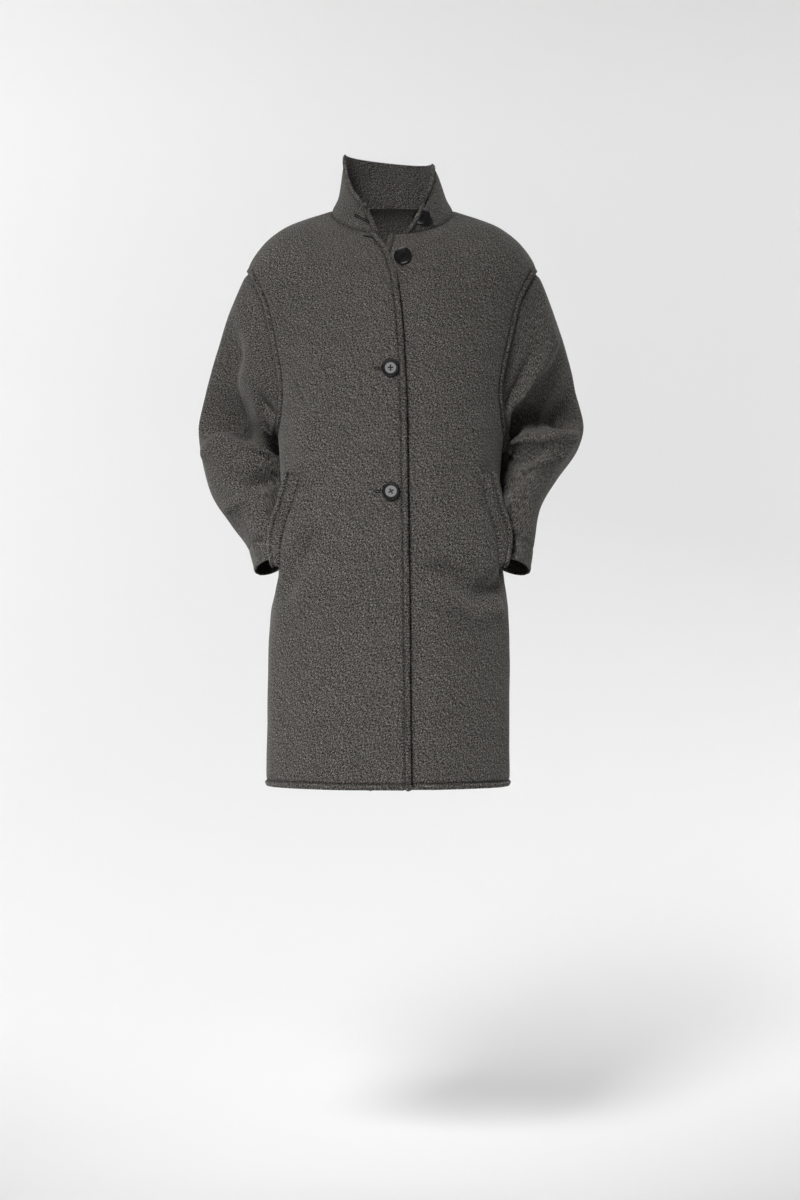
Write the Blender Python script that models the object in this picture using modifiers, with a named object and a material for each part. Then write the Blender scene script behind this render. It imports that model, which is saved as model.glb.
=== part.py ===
"""Short wool coat with a stand collar, dropped shoulders and welt pockets, worn with the neck open.

Metres, +Z up. The front faces -Y and the wearer's left is +X. The origin is on the centre line,
at the height where the coat lies on the shoulders beside the neck.
"""

import math

import bmesh
import bpy
import numpy as np
from mathutils import Matrix, Vector

# Cloth and sewing
CLOTH = 0.0025  # wall of the felted wool
WELT_CLOTH = 0.0030  # folded wool of a pocket welt
SEAM_GAP = 0.0003  # clear space between sewn pieces
SEAM_INSET = 0.75 * SEAM_GAP  # how far each sewn edge is drawn in, with some to spare on curves
LAP = 0.0036  # how far the right front stands off the left front where they overlap
LAP_FROM, LAP_TO = math.radians(-32), math.radians(-16)  # where the right front rises to its lap
LAP_FADE = 0.070  # distance below the neck seam over which the lap begins
SLOPE_STEP = 1e-4  # step for reading a surface's slope
SEARCH_STEPS = 600  # divisions of a table when a value is looked for along it
SHARP_FOLD, SMOOTH_SEAM = -0.5, 0.3  # cosines between two pieces' normals at a seam
CLOTH_SHARP_EDGE = math.radians(50)
BUTTON_SHARP_EDGE = math.radians(35)

# Pose
LEAN = 0.0078  # sideways drift of the centre line for each metre of height

# The coat's horizontal rings, from the hem to the neck seam. Each is an oval through its side,
# front and back points, and fullness swells it between them. A dip of 2 bends to the front and
# back heights, and of 1 leans to them straight.
RING_COLUMNS = ("side_z", "front_z", "back_z", "half_width", "front_y", "back_y", "fullness", "dip")
BODY_RINGS = (
    ("hem", -0.917, -0.917, -0.917, 0.192, -0.136, 0.132, 0.17, 2.0),
    ("skirt", -0.790, -0.790, -0.790, 0.192, -0.139, 0.135, 0.16, 2.0),
    ("hip", -0.660, -0.660, -0.660, 0.191, -0.141, 0.137, 0.15, 2.0),
    ("pocket", -0.555, -0.555, -0.555, 0.188, -0.142, 0.137, 0.14, 2.0),
    ("waist", -0.445, -0.445, -0.445, 0.177, -0.142, 0.136, 0.13, 2.0),
    ("underarm", -0.360, -0.365, -0.360, 0.181, -0.141, 0.135, 0.12, 2.0),
    ("chest", -0.285, -0.296, -0.283, 0.193, -0.139, 0.133, 0.11, 2.0),
    ("upper_chest", -0.215, -0.234, -0.208, 0.209, -0.136, 0.129, 0.10, 2.0),
    ("armhole", -0.155, -0.182, -0.144, 0.222, -0.131, 0.123, 0.09, 2.0),
    ("shoulder_point", -0.100, -0.138, -0.086, 0.231, -0.125, 0.115, 0.08, 2.0),
    ("shoulder", -0.058, -0.104, -0.044, 0.206, -0.117, 0.104, 0.07, 2.0),
    ("shoulder_slope", -0.032, -0.082, -0.017, 0.174, -0.109, 0.094, 0.06, 1.8),
    ("neck_slope", -0.014, -0.063, 0.003, 0.132, -0.099, 0.083, 0.05, 1.4),
    ("neck", -0.003, -0.050, 0.014, 0.097, -0.089, 0.073, 0.05, 1.0),
)
COLLAR_RINGS = (
    ("seam", -0.003, -0.050, 0.014, 0.097, -0.089, 0.073, 0.05, 1.0),
    ("flare", 0.014, -0.043, 0.030, 0.087, -0.088, 0.071, 0.06, 1.0),
    ("stand", 0.036, -0.034, 0.050, 0.081, -0.090, 0.073, 0.06, 1.0),
    ("upper", 0.058, -0.026, 0.070, 0.076, -0.093, 0.076, 0.06, 1.0),
    ("top", 0.079, -0.018, 0.086, 0.0705, -0.096, 0.078, 0.06, 1.0),
)
COLLAR_DRIFT = -0.007  # how far the collar's top edge stands to the wearer's right
COLLAR_TILT = 0.100  # how much higher the top edge is for each metre to the wearer's right

# Where the fronts and the collar end, as distances from the centre line at a front height
EDGE_COLUMNS = ("front_z", "right_x", "left_x")
FRONT_EDGES = (
    ("hem", -0.917, 0.0345, -0.030),
    ("lower_button", -0.456, 0.0255, -0.030),
    ("middle_button", -0.265, 0.0200, -0.029),
    ("chest", -0.158, 0.0115, -0.026),
    ("opening", -0.110, 0.0035, -0.019),
    ("top_button", -0.082, -0.0070, -0.012),
    ("neck", -0.050, -0.0290, -0.003),
)
COLLAR_END_CLEARANCE = 2.0  # degrees kept free of another division beside a collar end
COLLAR_END_COLUMNS = ("front_z", "right_x", "left_x")
COLLAR_ENDS = (
    ("seam", -0.050, -0.0215, 0.0200),
    ("stand", -0.034, -0.0290, 0.0360),
    ("top", -0.018, -0.0360, 0.0567),
)

# The armhole, as a rounded gap between the front and the back
ARMHOLE_FRONT_GAP = math.radians(33)
ARMHOLE_BACK_GAP = math.radians(28)
ARMHOLE_ROUNDING = 3.0  # 2 is an ellipse, more is squarer
SHOULDER_SEAM = math.radians(90)
SIDE_SEAM = math.radians(100)

# The sleeves, from the armhole to the cuff. Each section is an oval through its outer, front,
# inner and back points; lift tips it forwards and pull draws its front and back inwards.
SLEEVE_COLUMNS = (
    "out_x", "out_y", "out_z", "in_x", "in_y", "in_z", "half_depth", "lift", "pull"
)
LEFT_SLEEVE = (
    ("armhole", 0.231, 0.004, -0.100, 0.178, 0.030, -0.360, 0.084, 0.000, 0.014),
    ("shoulder", 0.258, 0.018, -0.160, 0.187, 0.048, -0.371, 0.084, 0.000, 0.010),
    ("upper_arm", 0.281, 0.034, -0.225, 0.174, 0.066, -0.385, 0.081, 0.000, 0.006),
    ("above_elbow", 0.299, 0.050, -0.290, 0.163, 0.070, -0.401, 0.077, 0.002, 0.002),
    ("elbow", 0.312, 0.060, -0.348, 0.157, 0.068, -0.418, 0.073, 0.006, 0.000),
    ("below_elbow", 0.303, 0.058, -0.378, 0.160, 0.062, -0.436, 0.068, 0.012, 0.000),
    ("forearm", 0.272, 0.046, -0.424, 0.162, 0.047, -0.458, 0.063, 0.018, 0.000),
    ("mid_forearm", 0.242, 0.022, -0.472, 0.165, 0.022, -0.490, 0.057, 0.020, 0.000),
    ("wrist", 0.232, -0.004, -0.526, 0.166, -0.004, -0.528, 0.050, 0.016, 0.000),
    ("cuff", 0.224, -0.020, -0.578, 0.167, -0.020, -0.562, 0.044, 0.011, 0.000),
)
RIGHT_SLEEVE = (
    ("armhole", 0.231, 0.004, -0.100, 0.178, 0.030, -0.360, 0.084, 0.000, 0.014),
    ("shoulder", 0.259, 0.018, -0.160, 0.187, 0.048, -0.371, 0.084, 0.000, 0.010),
    ("upper_arm", 0.281, 0.034, -0.225, 0.174, 0.066, -0.385, 0.081, 0.000, 0.006),
    ("above_elbow", 0.300, 0.050, -0.290, 0.163, 0.070, -0.401, 0.077, 0.002, 0.002),
    ("elbow", 0.313, 0.060, -0.348, 0.157, 0.068, -0.418, 0.074, 0.006, 0.000),
    ("below_elbow", 0.306, 0.058, -0.400, 0.160, 0.062, -0.438, 0.071, 0.010, 0.000),
    ("forearm", 0.290, 0.046, -0.452, 0.162, 0.047, -0.464, 0.067, 0.016, 0.000),
    ("mid_forearm", 0.258, 0.022, -0.498, 0.165, 0.022, -0.498, 0.060, 0.020, 0.000),
    ("wrist", 0.228, -0.004, -0.538, 0.166, -0.004, -0.534, 0.051, 0.017, 0.000),
    ("cuff", 0.215, -0.020, -0.578, 0.166, -0.020, -0.562, 0.044, 0.011, 0.000),
)
ARMHOLE_BLEND = 0.30  # share of a sleeve's length over which its sections leave the armhole's shape
FOLD_FADE = 0.12  # share of a sleeve's length over which its folds rise from the armhole
UPPER_SLEEVE_FROM = -30  # degrees round the sleeve, 0 at its outer line and 90 at its front
UPPER_SLEEVE_TO = 180

# Folds, each a soft trough or ridge along a line from one place to another; depth below 0 goes in
BODY_DEGREE = math.radians(1) * 0.165  # metres of cloth for each degree round the body
BODY_FOLDS = (
    # name, angle_from, z_from, angle_to, z_to, width, depth
    ("left_pocket_hand", 52, -0.510, 58, -0.570, 0.045, 0.008),
    ("left_pocket_mouth", 100, -0.475, 82, -0.565, 0.038, -0.032),
    ("left_arm", 108, -0.395, 107, -0.450, 0.036, -0.015),
    ("left_underarm", 93, -0.372, 95, -0.392, 0.020, -0.003),
    ("left_above_pocket", 44, -0.360, 49, -0.450, 0.022, 0.006),
    ("left_below_pocket", 62, -0.585, 46, -0.640, 0.018, -0.006),
    ("left_skirt", 40, -0.700, 36, -0.910, 0.060, -0.006),
    ("right_pocket_hand", -52, -0.510, -58, -0.570, 0.045, 0.008),
    ("right_pocket_mouth", -103, -0.480, -86, -0.565, 0.042, -0.035),
    ("right_arm", -108, -0.395, -107, -0.450, 0.036, -0.015),
    ("right_underarm", -93, -0.372, -95, -0.392, 0.020, -0.003),
    ("right_above_pocket", -42, -0.370, -48, -0.450, 0.026, 0.005),
    ("right_below_pocket", -64, -0.585, -50, -0.635, 0.020, -0.005),
    ("right_skirt", -46, -0.720, -42, -0.910, 0.070, -0.005),
    ("back_left_blade", 146, -0.330, 152, -0.880, 0.050, -0.008),
    ("back_right_blade", 214, -0.350, 207, -0.880, 0.055, -0.007),
    ("back_centre", 180, -0.260, 180, -0.850, 0.060, 0.005),
)
SLEEVE_DEGREE = math.radians(1) * 0.070  # metres of cloth for each degree round a sleeve
SLEEVE_RUN = 0.500  # metres of cloth from a sleeve's head to its cuff
LEFT_SLEEVE_FOLDS = (
    # name, degrees_from, along_from, degrees_to, along_to, width, depth
    ("armpit_ridge", 112, 0.20, 46, 0.14, 0.020, 0.008),
    ("armpit_trough", 118, 0.34, 40, 0.24, 0.024, -0.011),
    ("elbow_crease", 124, 0.51, 62, 0.44, 0.017, -0.013),
    ("forearm_ridge", 140, 0.60, 30, 0.52, 0.022, 0.007),
    ("forearm_crease", 116, 0.67, 66, 0.63, 0.018, -0.008),
    ("cuff_fold", 70, 0.72, 48, 0.90, 0.018, -0.006),
    ("back_elbow", 215, 0.46, 300, 0.42, 0.022, -0.007),
    ("back_forearm", 230, 0.66, 300, 0.60, 0.020, -0.005),
)
RIGHT_SLEEVE_FOLDS = (
    ("armpit_trough", 122, 0.22, 70, 0.20, 0.022, -0.008),
    ("upper_hollow", 62, 0.22, 40, 0.40, 0.034, -0.007),
    ("elbow_crease", 124, 0.49, 70, 0.43, 0.018, -0.012),
    ("forearm_ridge", 140, 0.58, 50, 0.52, 0.024, 0.007),
    ("forearm_crease", 118, 0.67, 80, 0.62, 0.018, -0.006),
    ("cuff_fold", 50, 0.74, 20, 0.70, 0.020, -0.007),
    ("back_elbow", 215, 0.47, 300, 0.43, 0.022, -0.007),
    ("back_forearm", 230, 0.68, 300, 0.62, 0.020, -0.005),
)

# Pocket welts: their seam line on the front, and how far they reach from it towards the side
WELT_COLUMNS = ("z", "angle", "reach")
POCKET_WELT = (
    ("bottom", -0.570, 59, 0.016),
    ("lower", -0.530, 58, 0.025),
    ("upper", -0.470, 52, 0.025),
    ("top", -0.426, 47, 0.024),
)
WELT_SEAT = 0.0005  # the welt's back face above the front at its seam
WELT_SWING = math.radians(28)  # how far the open pocket turns its welt off the front

# Buttons
BUTTON_RADIUS = 0.0142
MERGE_DISTANCE = 0.00005
BUTTON_SEAT = 0.0003  # between the cloth and the button's back
BUTTON_HOLE_RADIUS = 0.0011
BUTTON_HOLE_OFFSET = 0.0028
BUTTON_PROFILE = (
    ("dish_centre", 0.000, 0.0024),
    ("dish_edge", 0.66, 0.0035),
    ("groove", 0.72, 0.0028),
    ("rim", 0.88, 0.0046),
    ("edge", 1.00, 0.0034),
    ("under_edge", 0.90, 0.0008),
    ("back", 0.70, 0.0000),
    ("back_centre", 0.000, 0.0000),
)
BUTTON_SIDES = 24
BUTTON_HOLE_SIDES = 8
BUTTON_HOLE_CUT = 0.020  # length of the cutters for the holes
FRONT_BUTTONS = (
    ("button_top", "left", 0.0170, -0.088),
    ("button_middle", "right", 0.0000, -0.265),
    ("button_lower", "right", 0.0020, -0.456),
)
COLLAR_BUTTON_SEAT = 0.0006  # more, because the collar curves both ways behind it
COLLAR_BUTTON_ANGLE = math.radians(35)
COLLAR_BUTTON_SHARE = 0.50  # of the collar's height

# How finely the panels are divided
SKIRT_STEPS = 4
POCKET_STEPS = 8
WAIST_STEPS = 2
ARMHOLE_STEPS = 12
SHOULDER_STEPS = 4
FRONT_STEPS = 12
BACK_STEPS = 16
COLLAR_STEPS = 4
SLEEVE_STEPS = 18
WELT_LONG_STEPS = 8
WELT_CROSS_STEPS = 2
SIDEWARD_CROWDING = 1.3  # crowds a front's divisions towards the side, where the pocket is

WOOL_COLOUR = (0.075, 0.072, 0.067, 1.0)
WOOL_ROUGHNESS = 0.95
BUTTON_COLOUR = (0.016, 0.016, 0.017, 1.0)
BUTTON_ROUGHNESS = 0.25


class SmoothTable:
    """The rows of a table with named columns, read between its rows along smooth curves."""

    def __init__(self, columns, rows, run_along):
        self.columns = columns
        self.values = np.array([row[1:] for row in rows])
        along = self.values[:, [columns.index(name) for name in run_along]]
        steps = np.linalg.norm(np.diff(along, axis=0), axis=1)
        self.stations = np.concatenate([[0.0], np.cumsum(steps)])
        self.named = dict(zip([row[0] for row in rows], self.stations))
        self.slopes = np.gradient(self.values, self.stations, axis=0)

    def at(self, station):
        """Every column at these stations, as a dictionary of arrays."""
        station = np.asarray(station, float)
        low = np.clip(np.searchsorted(self.stations, station) - 1, 0, len(self.stations) - 2)
        span = self.stations[low + 1] - self.stations[low]
        t = ((station - self.stations[low]) / span)[..., None]
        span = span[..., None]
        value = (
            self.values[low] * (1 + 2 * t) * (1 - t) ** 2
            + self.slopes[low] * span * t * (1 - t) ** 2
            + self.values[low + 1] * t**2 * (3 - 2 * t)
            + self.slopes[low + 1] * span * t**2 * (t - 1)
        )
        return {name: value[..., i] for i, name in enumerate(self.columns)}

    def station_where(self, column, wanted):
        """The station at which a steadily rising column has a value."""
        fine = np.linspace(self.stations[0], self.stations[-1], SEARCH_STEPS)
        return np.interp(wanted, self.at(fine)[column], fine)


BODY = SmoothTable(RING_COLUMNS, BODY_RINGS, ("half_width", "side_z"))
COLLAR = SmoothTable(RING_COLUMNS, COLLAR_RINGS, ("half_width", "side_z"))
EDGES = SmoothTable(EDGE_COLUMNS, FRONT_EDGES, ("front_z",))
ENDS = SmoothTable(COLLAR_END_COLUMNS, COLLAR_ENDS, ("front_z",))
WELT = SmoothTable(WELT_COLUMNS, POCKET_WELT, ("z",))


def unit(vectors):
    return vectors / np.maximum(np.linalg.norm(vectors, axis=-1, keepdims=True), 1e-12)


def smooth_step(low, high, value):
    t = np.clip((value - low) / (high - low), 0, 1)
    return t * t * (3 - 2 * t)


def stacked(x, y, z):
    return np.stack(np.broadcast_arrays(x, y, z), axis=-1).astype(float)


def fold_depth(folds, degrees, along, degree_metres, along_metres):
    """The sum of the folds at places given in degrees round and along, which the scales measure."""
    total = np.zeros(np.broadcast(degrees, along).shape)
    for _, degrees_from, along_from, degrees_to, along_to, width, depth in folds:
        run = np.array([(degrees_to - degrees_from) * degree_metres, (along_to - along_from) * along_metres])
        round_way = (np.mod(degrees - degrees_from + 180, 360) - 180) * degree_metres
        place = np.stack(np.broadcast_arrays(round_way, (along - along_from) * along_metres), axis=-1)
        share = np.clip(place @ run / (run @ run), 0, 1)
        away = np.linalg.norm(place - share[..., None] * run, axis=-1)
        total = total + depth * np.exp(-((away / width) ** 2))
    return total


def ring_point(table, angle, station):
    """A point of a ring table's surface. The angle is 0 at the front and 90 degrees at the left."""
    row = table.at(station)
    sine, cosine = np.sin(angle), np.cos(angle)
    middle_y = (row["front_y"] + row["back_y"]) / 2
    half_depth = (row["back_y"] - row["front_y"]) / 2
    x = row["half_width"] * sine * (1 + row["fullness"] * cosine**2)
    y = middle_y - half_depth * cosine * (1 + row["fullness"] * sine**2)
    end_z = np.where(cosine > 0, row["front_z"], row["back_z"])
    z = row["side_z"] + (end_z - row["side_z"]) * np.abs(cosine) ** row["dip"]
    return stacked(x, y, z)


def slope_normal(surface, first, second):
    """The outward unit normal of a surface function of two parameters."""
    along_first = surface(first + SLOPE_STEP, second) - surface(first - SLOPE_STEP, second)
    along_second = surface(first, second + SLOPE_STEP) - surface(first, second - SLOPE_STEP)
    return unit(np.cross(along_first, along_second))


def body_point(angle, station):
    """A point of the coat body's outer face, with its folds."""
    angle, station = np.broadcast_arrays(np.asarray(angle, float), np.asarray(station, float))
    point = ring_point(BODY, angle, station)
    outward = slope_normal(lambda a, s: ring_point(BODY, a, s), angle, station)
    depth = fold_depth(BODY_FOLDS, np.degrees(angle), point[..., 2], BODY_DEGREE, 1.0)
    return point + outward * depth[..., None]


def right_front_point(angle, station):
    """The right front's outer face: the body's, standing off where it laps over the left front."""
    point = body_point(angle, station)
    outward = slope_normal(body_point, np.asarray(angle, float), np.asarray(station, float))
    below_neck = smooth_step(0, LAP_FADE, BODY.named["neck"] - np.asarray(station, float))
    lap = LAP * smooth_step(LAP_FROM, LAP_TO, angle) * below_neck
    return point + outward * lap[..., None]


def collar_point(angle, station):
    """A point of the collar's outer face; its top drifts and tilts to the wearer's right."""
    station = np.asarray(station, float)
    point = ring_point(COLLAR, np.asarray(angle, float), station)
    rise = (station / COLLAR.stations[-1]) ** 2
    tilt = -COLLAR_TILT * point[..., 0]
    return point + stacked(COLLAR_DRIFT * rise, 0, tilt * rise)


def armhole_station(turn):
    """The station of the armhole's edge; turn is 0 at its top and pi at its foot."""
    top, foot = BODY.named["shoulder_point"], BODY.named["underarm"]
    rise = np.sign(np.cos(turn)) * np.abs(np.cos(turn)) ** (2 / ARMHOLE_ROUNDING)
    return (top + foot) / 2 + (top - foot) / 2 * rise


def armhole_angles(turn):
    """The body angles of the armhole's front and back edges, which meet in a seam at each end."""
    seam = SHOULDER_SEAM + (SIDE_SEAM - SHOULDER_SEAM) * (1 - np.cos(turn)) / 2
    opening = np.abs(np.sin(turn)) ** (2 / ARMHOLE_ROUNDING)
    return seam - ARMHOLE_FRONT_GAP * opening, seam + ARMHOLE_BACK_GAP * opening


def armhole_edge(turn):
    """The left armhole's edge as body angle and station: its front for a turn under pi, then its back."""
    front, back = armhole_angles(turn)
    return np.where(np.sin(turn) >= 0, front, back), armhole_station(turn)


def body_rows():
    """The stations of a body panel's rows from hem to neck, and the armhole's turn at each."""
    named = BODY.named
    skirt = np.linspace(named["hem"], named["hip"], SKIRT_STEPS, endpoint=False)
    pocket = np.linspace(named["hip"], named["waist"], POCKET_STEPS, endpoint=False)
    waist = np.linspace(named["waist"], named["underarm"], WAIST_STEPS, endpoint=False)
    turns = np.linspace(math.pi, 0, ARMHOLE_STEPS + 1)
    shoulder = np.linspace(named["shoulder_point"], named["neck"], SHOULDER_STEPS + 1)[1:]
    below = len(skirt) + len(pocket) + len(waist)
    stations = np.concatenate([skirt, pocket, waist, armhole_station(turns), shoulder])
    turn = np.concatenate([np.full(below, math.pi), turns, np.zeros(SHOULDER_STEPS)])
    return stations, turn


def edge_angle(stations, column):
    """The body angle at which a front's own edge lies, from its distance to the centre line."""
    row = BODY.at(stations)
    edge_x = EDGES.at(EDGES.station_where("front_z", row["front_z"]))[column]
    return np.arcsin(edge_x / (row["half_width"] * (1 + row["fullness"])))


def spread_columns(start, end, steps, crowding=1.0):
    """Angles from start to end for each row, crowded towards the end."""
    share = 1 - (1 - np.linspace(0, 1, steps + 1)) ** crowding
    return start[:, None] + (end - start)[:, None] * share[None, :]


class Sleeve:
    """The outer face of one sleeve, made for the left side and mirrored for the right."""

    def __init__(self, side, rows, folds):
        self.side = side
        self.table = SmoothTable(SLEEVE_COLUMNS, rows, ("out_x", "out_z"))
        self.folds = folds

    def section(self, turn, along):
        """The plain oval section through the table's outer, front, inner and back points."""
        row = self.table.at(np.asarray(along) * self.table.stations[-1])
        outer = stacked(row["out_x"], row["out_y"], row["out_z"])
        inner = stacked(row["in_x"], row["in_y"], row["in_z"])
        middle = (outer + inner) / 2 + unit(inner - outer) * row["pull"][..., None]
        forwards = stacked(0 * row["lift"], -row["half_depth"], row["lift"])
        across, even = (outer - inner) / 2, (outer + inner - 2 * middle) / 4
        centre = (outer + inner + 2 * middle) / 4
        sine, cosine = np.sin(turn)[..., None], np.cos(turn)[..., None]
        return centre + across * cosine + forwards * sine + even * np.cos(2 * turn)[..., None]

    def plain(self, turn, along):
        """The section, drawn to the armhole's own edge at the sleeve's head."""
        turn, along = np.broadcast_arrays(np.asarray(turn, float), np.asarray(along, float))
        edge = body_point(*armhole_edge(turn))
        near = 1 - smooth_step(0, ARMHOLE_BLEND, along)
        return self.section(turn, along) + (edge - self.section(turn, 0 * along)) * near[..., None]

    def folded(self, turn, along):
        point = self.plain(turn, along)
        outward = slope_normal(self.plain, np.asarray(turn, float), np.asarray(along, float))
        depth = fold_depth(self.folds, np.degrees(turn), along, SLEEVE_DEGREE, SLEEVE_RUN)
        fade = smooth_step(0.0, FOLD_FADE, np.asarray(along, float))
        return point + outward * (depth * fade)[..., None]

    def normal(self, turn, along):
        return slope_normal(self.folded, np.asarray(turn, float), np.asarray(along, float))

    def place(self, points):
        """Points of the left-hand form on this sleeve's own side."""
        return points * np.array([self.side, 1.0, 1.0])

    def front_seam_normal(self, turn, own):
        return shared_normal(own, self.place(self.normal(turn, 0.0)))

    def back_seam_normal(self, turn, own):
        return shared_normal(own, self.place(self.normal(2 * math.pi - turn, 0.0)))


def shared_normal(own, other):
    """A seam's normal, even between two pieces that meet smoothly and each one's own at a sharp fold."""
    smoothness = smooth_step(SHARP_FOLD, SMOOTH_SEAM, np.sum(own * other, axis=-1))[..., None]
    return unit(own + other * smoothness)


def seam_inset(points, normals, ends):
    """Grid points with the sewn edges drawn in; ends names those edges."""
    moved = points.copy()
    edges = {
        "first_column": (np.s_[:, 0], np.s_[:, 1]),
        "last_column": (np.s_[:, -1], np.s_[:, -2]),
        "first_row": (np.s_[0, :], np.s_[1, :]),
        "last_row": (np.s_[-1, :], np.s_[-2, :]),
    }
    for name in ends:
        edge, inside = edges[name]
        run = unit(np.gradient(points[edge], axis=0))
        inward = unit(np.cross(normals[edge], run))
        towards = points[inside] - points[edge]
        inward = inward * np.sign(np.sum(inward * towards, axis=-1, keepdims=True))
        moved[edge] = moved[edge] + inward * SEAM_INSET
    return moved


def leaned(points):
    shift = np.zeros_like(points)
    shift[..., 0] = LEAN * points[..., 2]
    return points + shift


def rim_faces(start, end, start_behind, end_behind, vertices):
    """Two triangles of a wall's rim, split alike on both sides of a seam: from its upper outer corner."""
    if vertices[start][2] > vertices[end][2]:
        return [(start, start_behind, end_behind), (start, end_behind, end)]
    return [(end, start, start_behind), (end, start_behind, end_behind)]


def cloth_wall(name, outer, normals, collection, thickness=CLOTH, flip=False):
    """A closed wall lofted through sections: a grid of outer points and the same grid moved in."""
    inner = leaned(outer - normals * thickness)
    outer = leaned(outer)
    rows, columns = outer.shape[:2]
    vertices = np.concatenate([outer.reshape(-1, 3), inner.reshape(-1, 3)])
    index = np.arange(rows * columns).reshape(rows, columns)
    faces = []
    for i in range(rows - 1):
        for j in range(columns - 1):
            quad = (index[i, j], index[i, j + 1], index[i + 1, j + 1], index[i + 1, j])
            faces.append(quad)
            faces.append(tuple(k + rows * columns for k in reversed(quad)))
    border = np.concatenate([index[0, :-1], index[:-1, -1], index[-1, :0:-1], index[:0:-1, 0]])
    for a, b in zip(border, np.roll(border, -1)):
        faces.extend(rim_faces(a, b, a + rows * columns, b + rows * columns, vertices))
    if flip:
        faces = [tuple(reversed(face)) for face in faces]
    mesh = bpy.data.meshes.new(name)
    mesh.from_pydata(vertices.tolist(), [], [tuple(int(k) for k in face) for face in faces])
    mesh.validate()
    mesh.shade_smooth()
    mesh.set_sharp_from_angle(angle=CLOTH_SHARP_EDGE)
    return add_object(name, mesh, make_material(f"{name}_wool", WOOL_COLOUR, WOOL_ROUGHNESS), collection)


def add_object(name, mesh, material, collection):
    made = bpy.data.objects.new(name, mesh)
    mesh.materials.clear()
    mesh.materials.append(material)
    collection.objects.link(made)
    return made


def make_material(name, colour, roughness):
    material = bpy.data.materials.new(name)
    material.use_nodes = True
    shader = material.node_tree.nodes["Principled BSDF"]
    shader.inputs["Base Color"].default_value = colour
    shader.inputs["Roughness"].default_value = roughness
    shader.inputs["Metallic"].default_value = 0.0
    material.diffuse_color = colour
    return material


def with_armhole_normals(normals, turns, column, seam_normal):
    """Panel normals with the seam's shared ones where the panel's first or last column is armhole."""
    changed = normals.copy()
    foot = SKIRT_STEPS + POCKET_STEPS + WAIST_STEPS
    armhole = np.s_[foot : foot + ARMHOLE_STEPS + 1]
    changed[armhole, column] = seam_normal(turns[armhole], normals[armhole, column])
    return changed


def with_neck_normals(normals, angles):
    """Panel normals with the collar seam's shared ones on the top row."""
    changed = normals.copy()
    collar = slope_normal(collar_point, angles[-1], np.full(angles.shape[1], COLLAR.named["seam"]))
    changed[-1] = shared_normal(normals[-1], collar)
    return changed


def front_angles(stations, turns, side, edge_column):
    """Body angles of a front's grid, from its own edge to the side; side is 1 for the left."""
    edge = edge_angle(stations, edge_column)
    return spread_columns(edge, side * armhole_angles(turns)[0], FRONT_STEPS, SIDEWARD_CROWDING)


def back_angles(turns):
    start = armhole_angles(turns)[1]
    return spread_columns(start, 2 * math.pi - start, BACK_STEPS)


def make_body(sleeves, collection):
    """The left front, the right front and the back, each one panel from hem to shoulder."""
    stations, turns = body_rows()

    angles = front_angles(stations, turns, 1, "left_x")
    grid = np.broadcast_to(stations[:, None], angles.shape)
    normals = slope_normal(body_point, angles, grid)
    normals = with_armhole_normals(normals, turns, -1, sleeves["left"].front_seam_normal)
    normals = with_neck_normals(normals, angles)
    points = seam_inset(body_point(angles, grid), normals, ("last_column", "last_row"))
    cloth_wall("front_left", points, normals, collection)

    angles = front_angles(stations, turns, -1, "right_x")
    normals = slope_normal(right_front_point, angles, grid)
    normals = with_armhole_normals(normals, turns, -1, sleeves["right"].front_seam_normal)
    normals = with_neck_normals(normals, angles)
    points = seam_inset(right_front_point(angles, grid), normals, ("last_column", "last_row"))
    cloth_wall("front_right", points, normals, collection, flip=True)

    angles = back_angles(turns)
    grid = np.broadcast_to(stations[:, None], angles.shape)
    normals = slope_normal(body_point, angles, grid)
    normals = with_armhole_normals(normals, turns, 0, sleeves["left"].back_seam_normal)
    normals = with_armhole_normals(normals, turns, -1, sleeves["right"].back_seam_normal)
    normals = with_neck_normals(normals, angles)
    points = body_point(angles, grid)
    points = seam_inset(points, normals, ("first_column", "last_column", "last_row"))
    cloth_wall("back", points, normals, collection)


def make_sleeve(sleeve, name, collection):
    """A sleeve's upper and under pieces, whose columns meet the body's rows at the armhole."""
    column_turn = 180 // ARMHOLE_STEPS
    pieces = (
        ("upper", UPPER_SLEEVE_FROM, UPPER_SLEEVE_TO),
        ("under", UPPER_SLEEVE_TO, UPPER_SLEEVE_FROM + 360),
    )
    for piece, start, end in pieces:
        turn_row = np.radians(np.arange(start, end + 1, column_turn))
        along_column = np.linspace(0, 1, SLEEVE_STEPS + 1)
        turn, along = np.meshgrid(turn_row, along_column)
        normals = sleeve.normal(turn, along)
        armhole = armhole_edge(turn_row)
        normals[0] = shared_normal(normals[0], slope_normal(body_point, *armhole))
        points = sleeve.folded(turn, along)
        points = seam_inset(points, normals, ("first_row", "first_column", "last_column"))
        points, normals = sleeve.place(points), sleeve.place(normals)
        cloth_wall(f"{name}_{piece}", points, normals, collection, flip=sleeve.side < 0)


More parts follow.
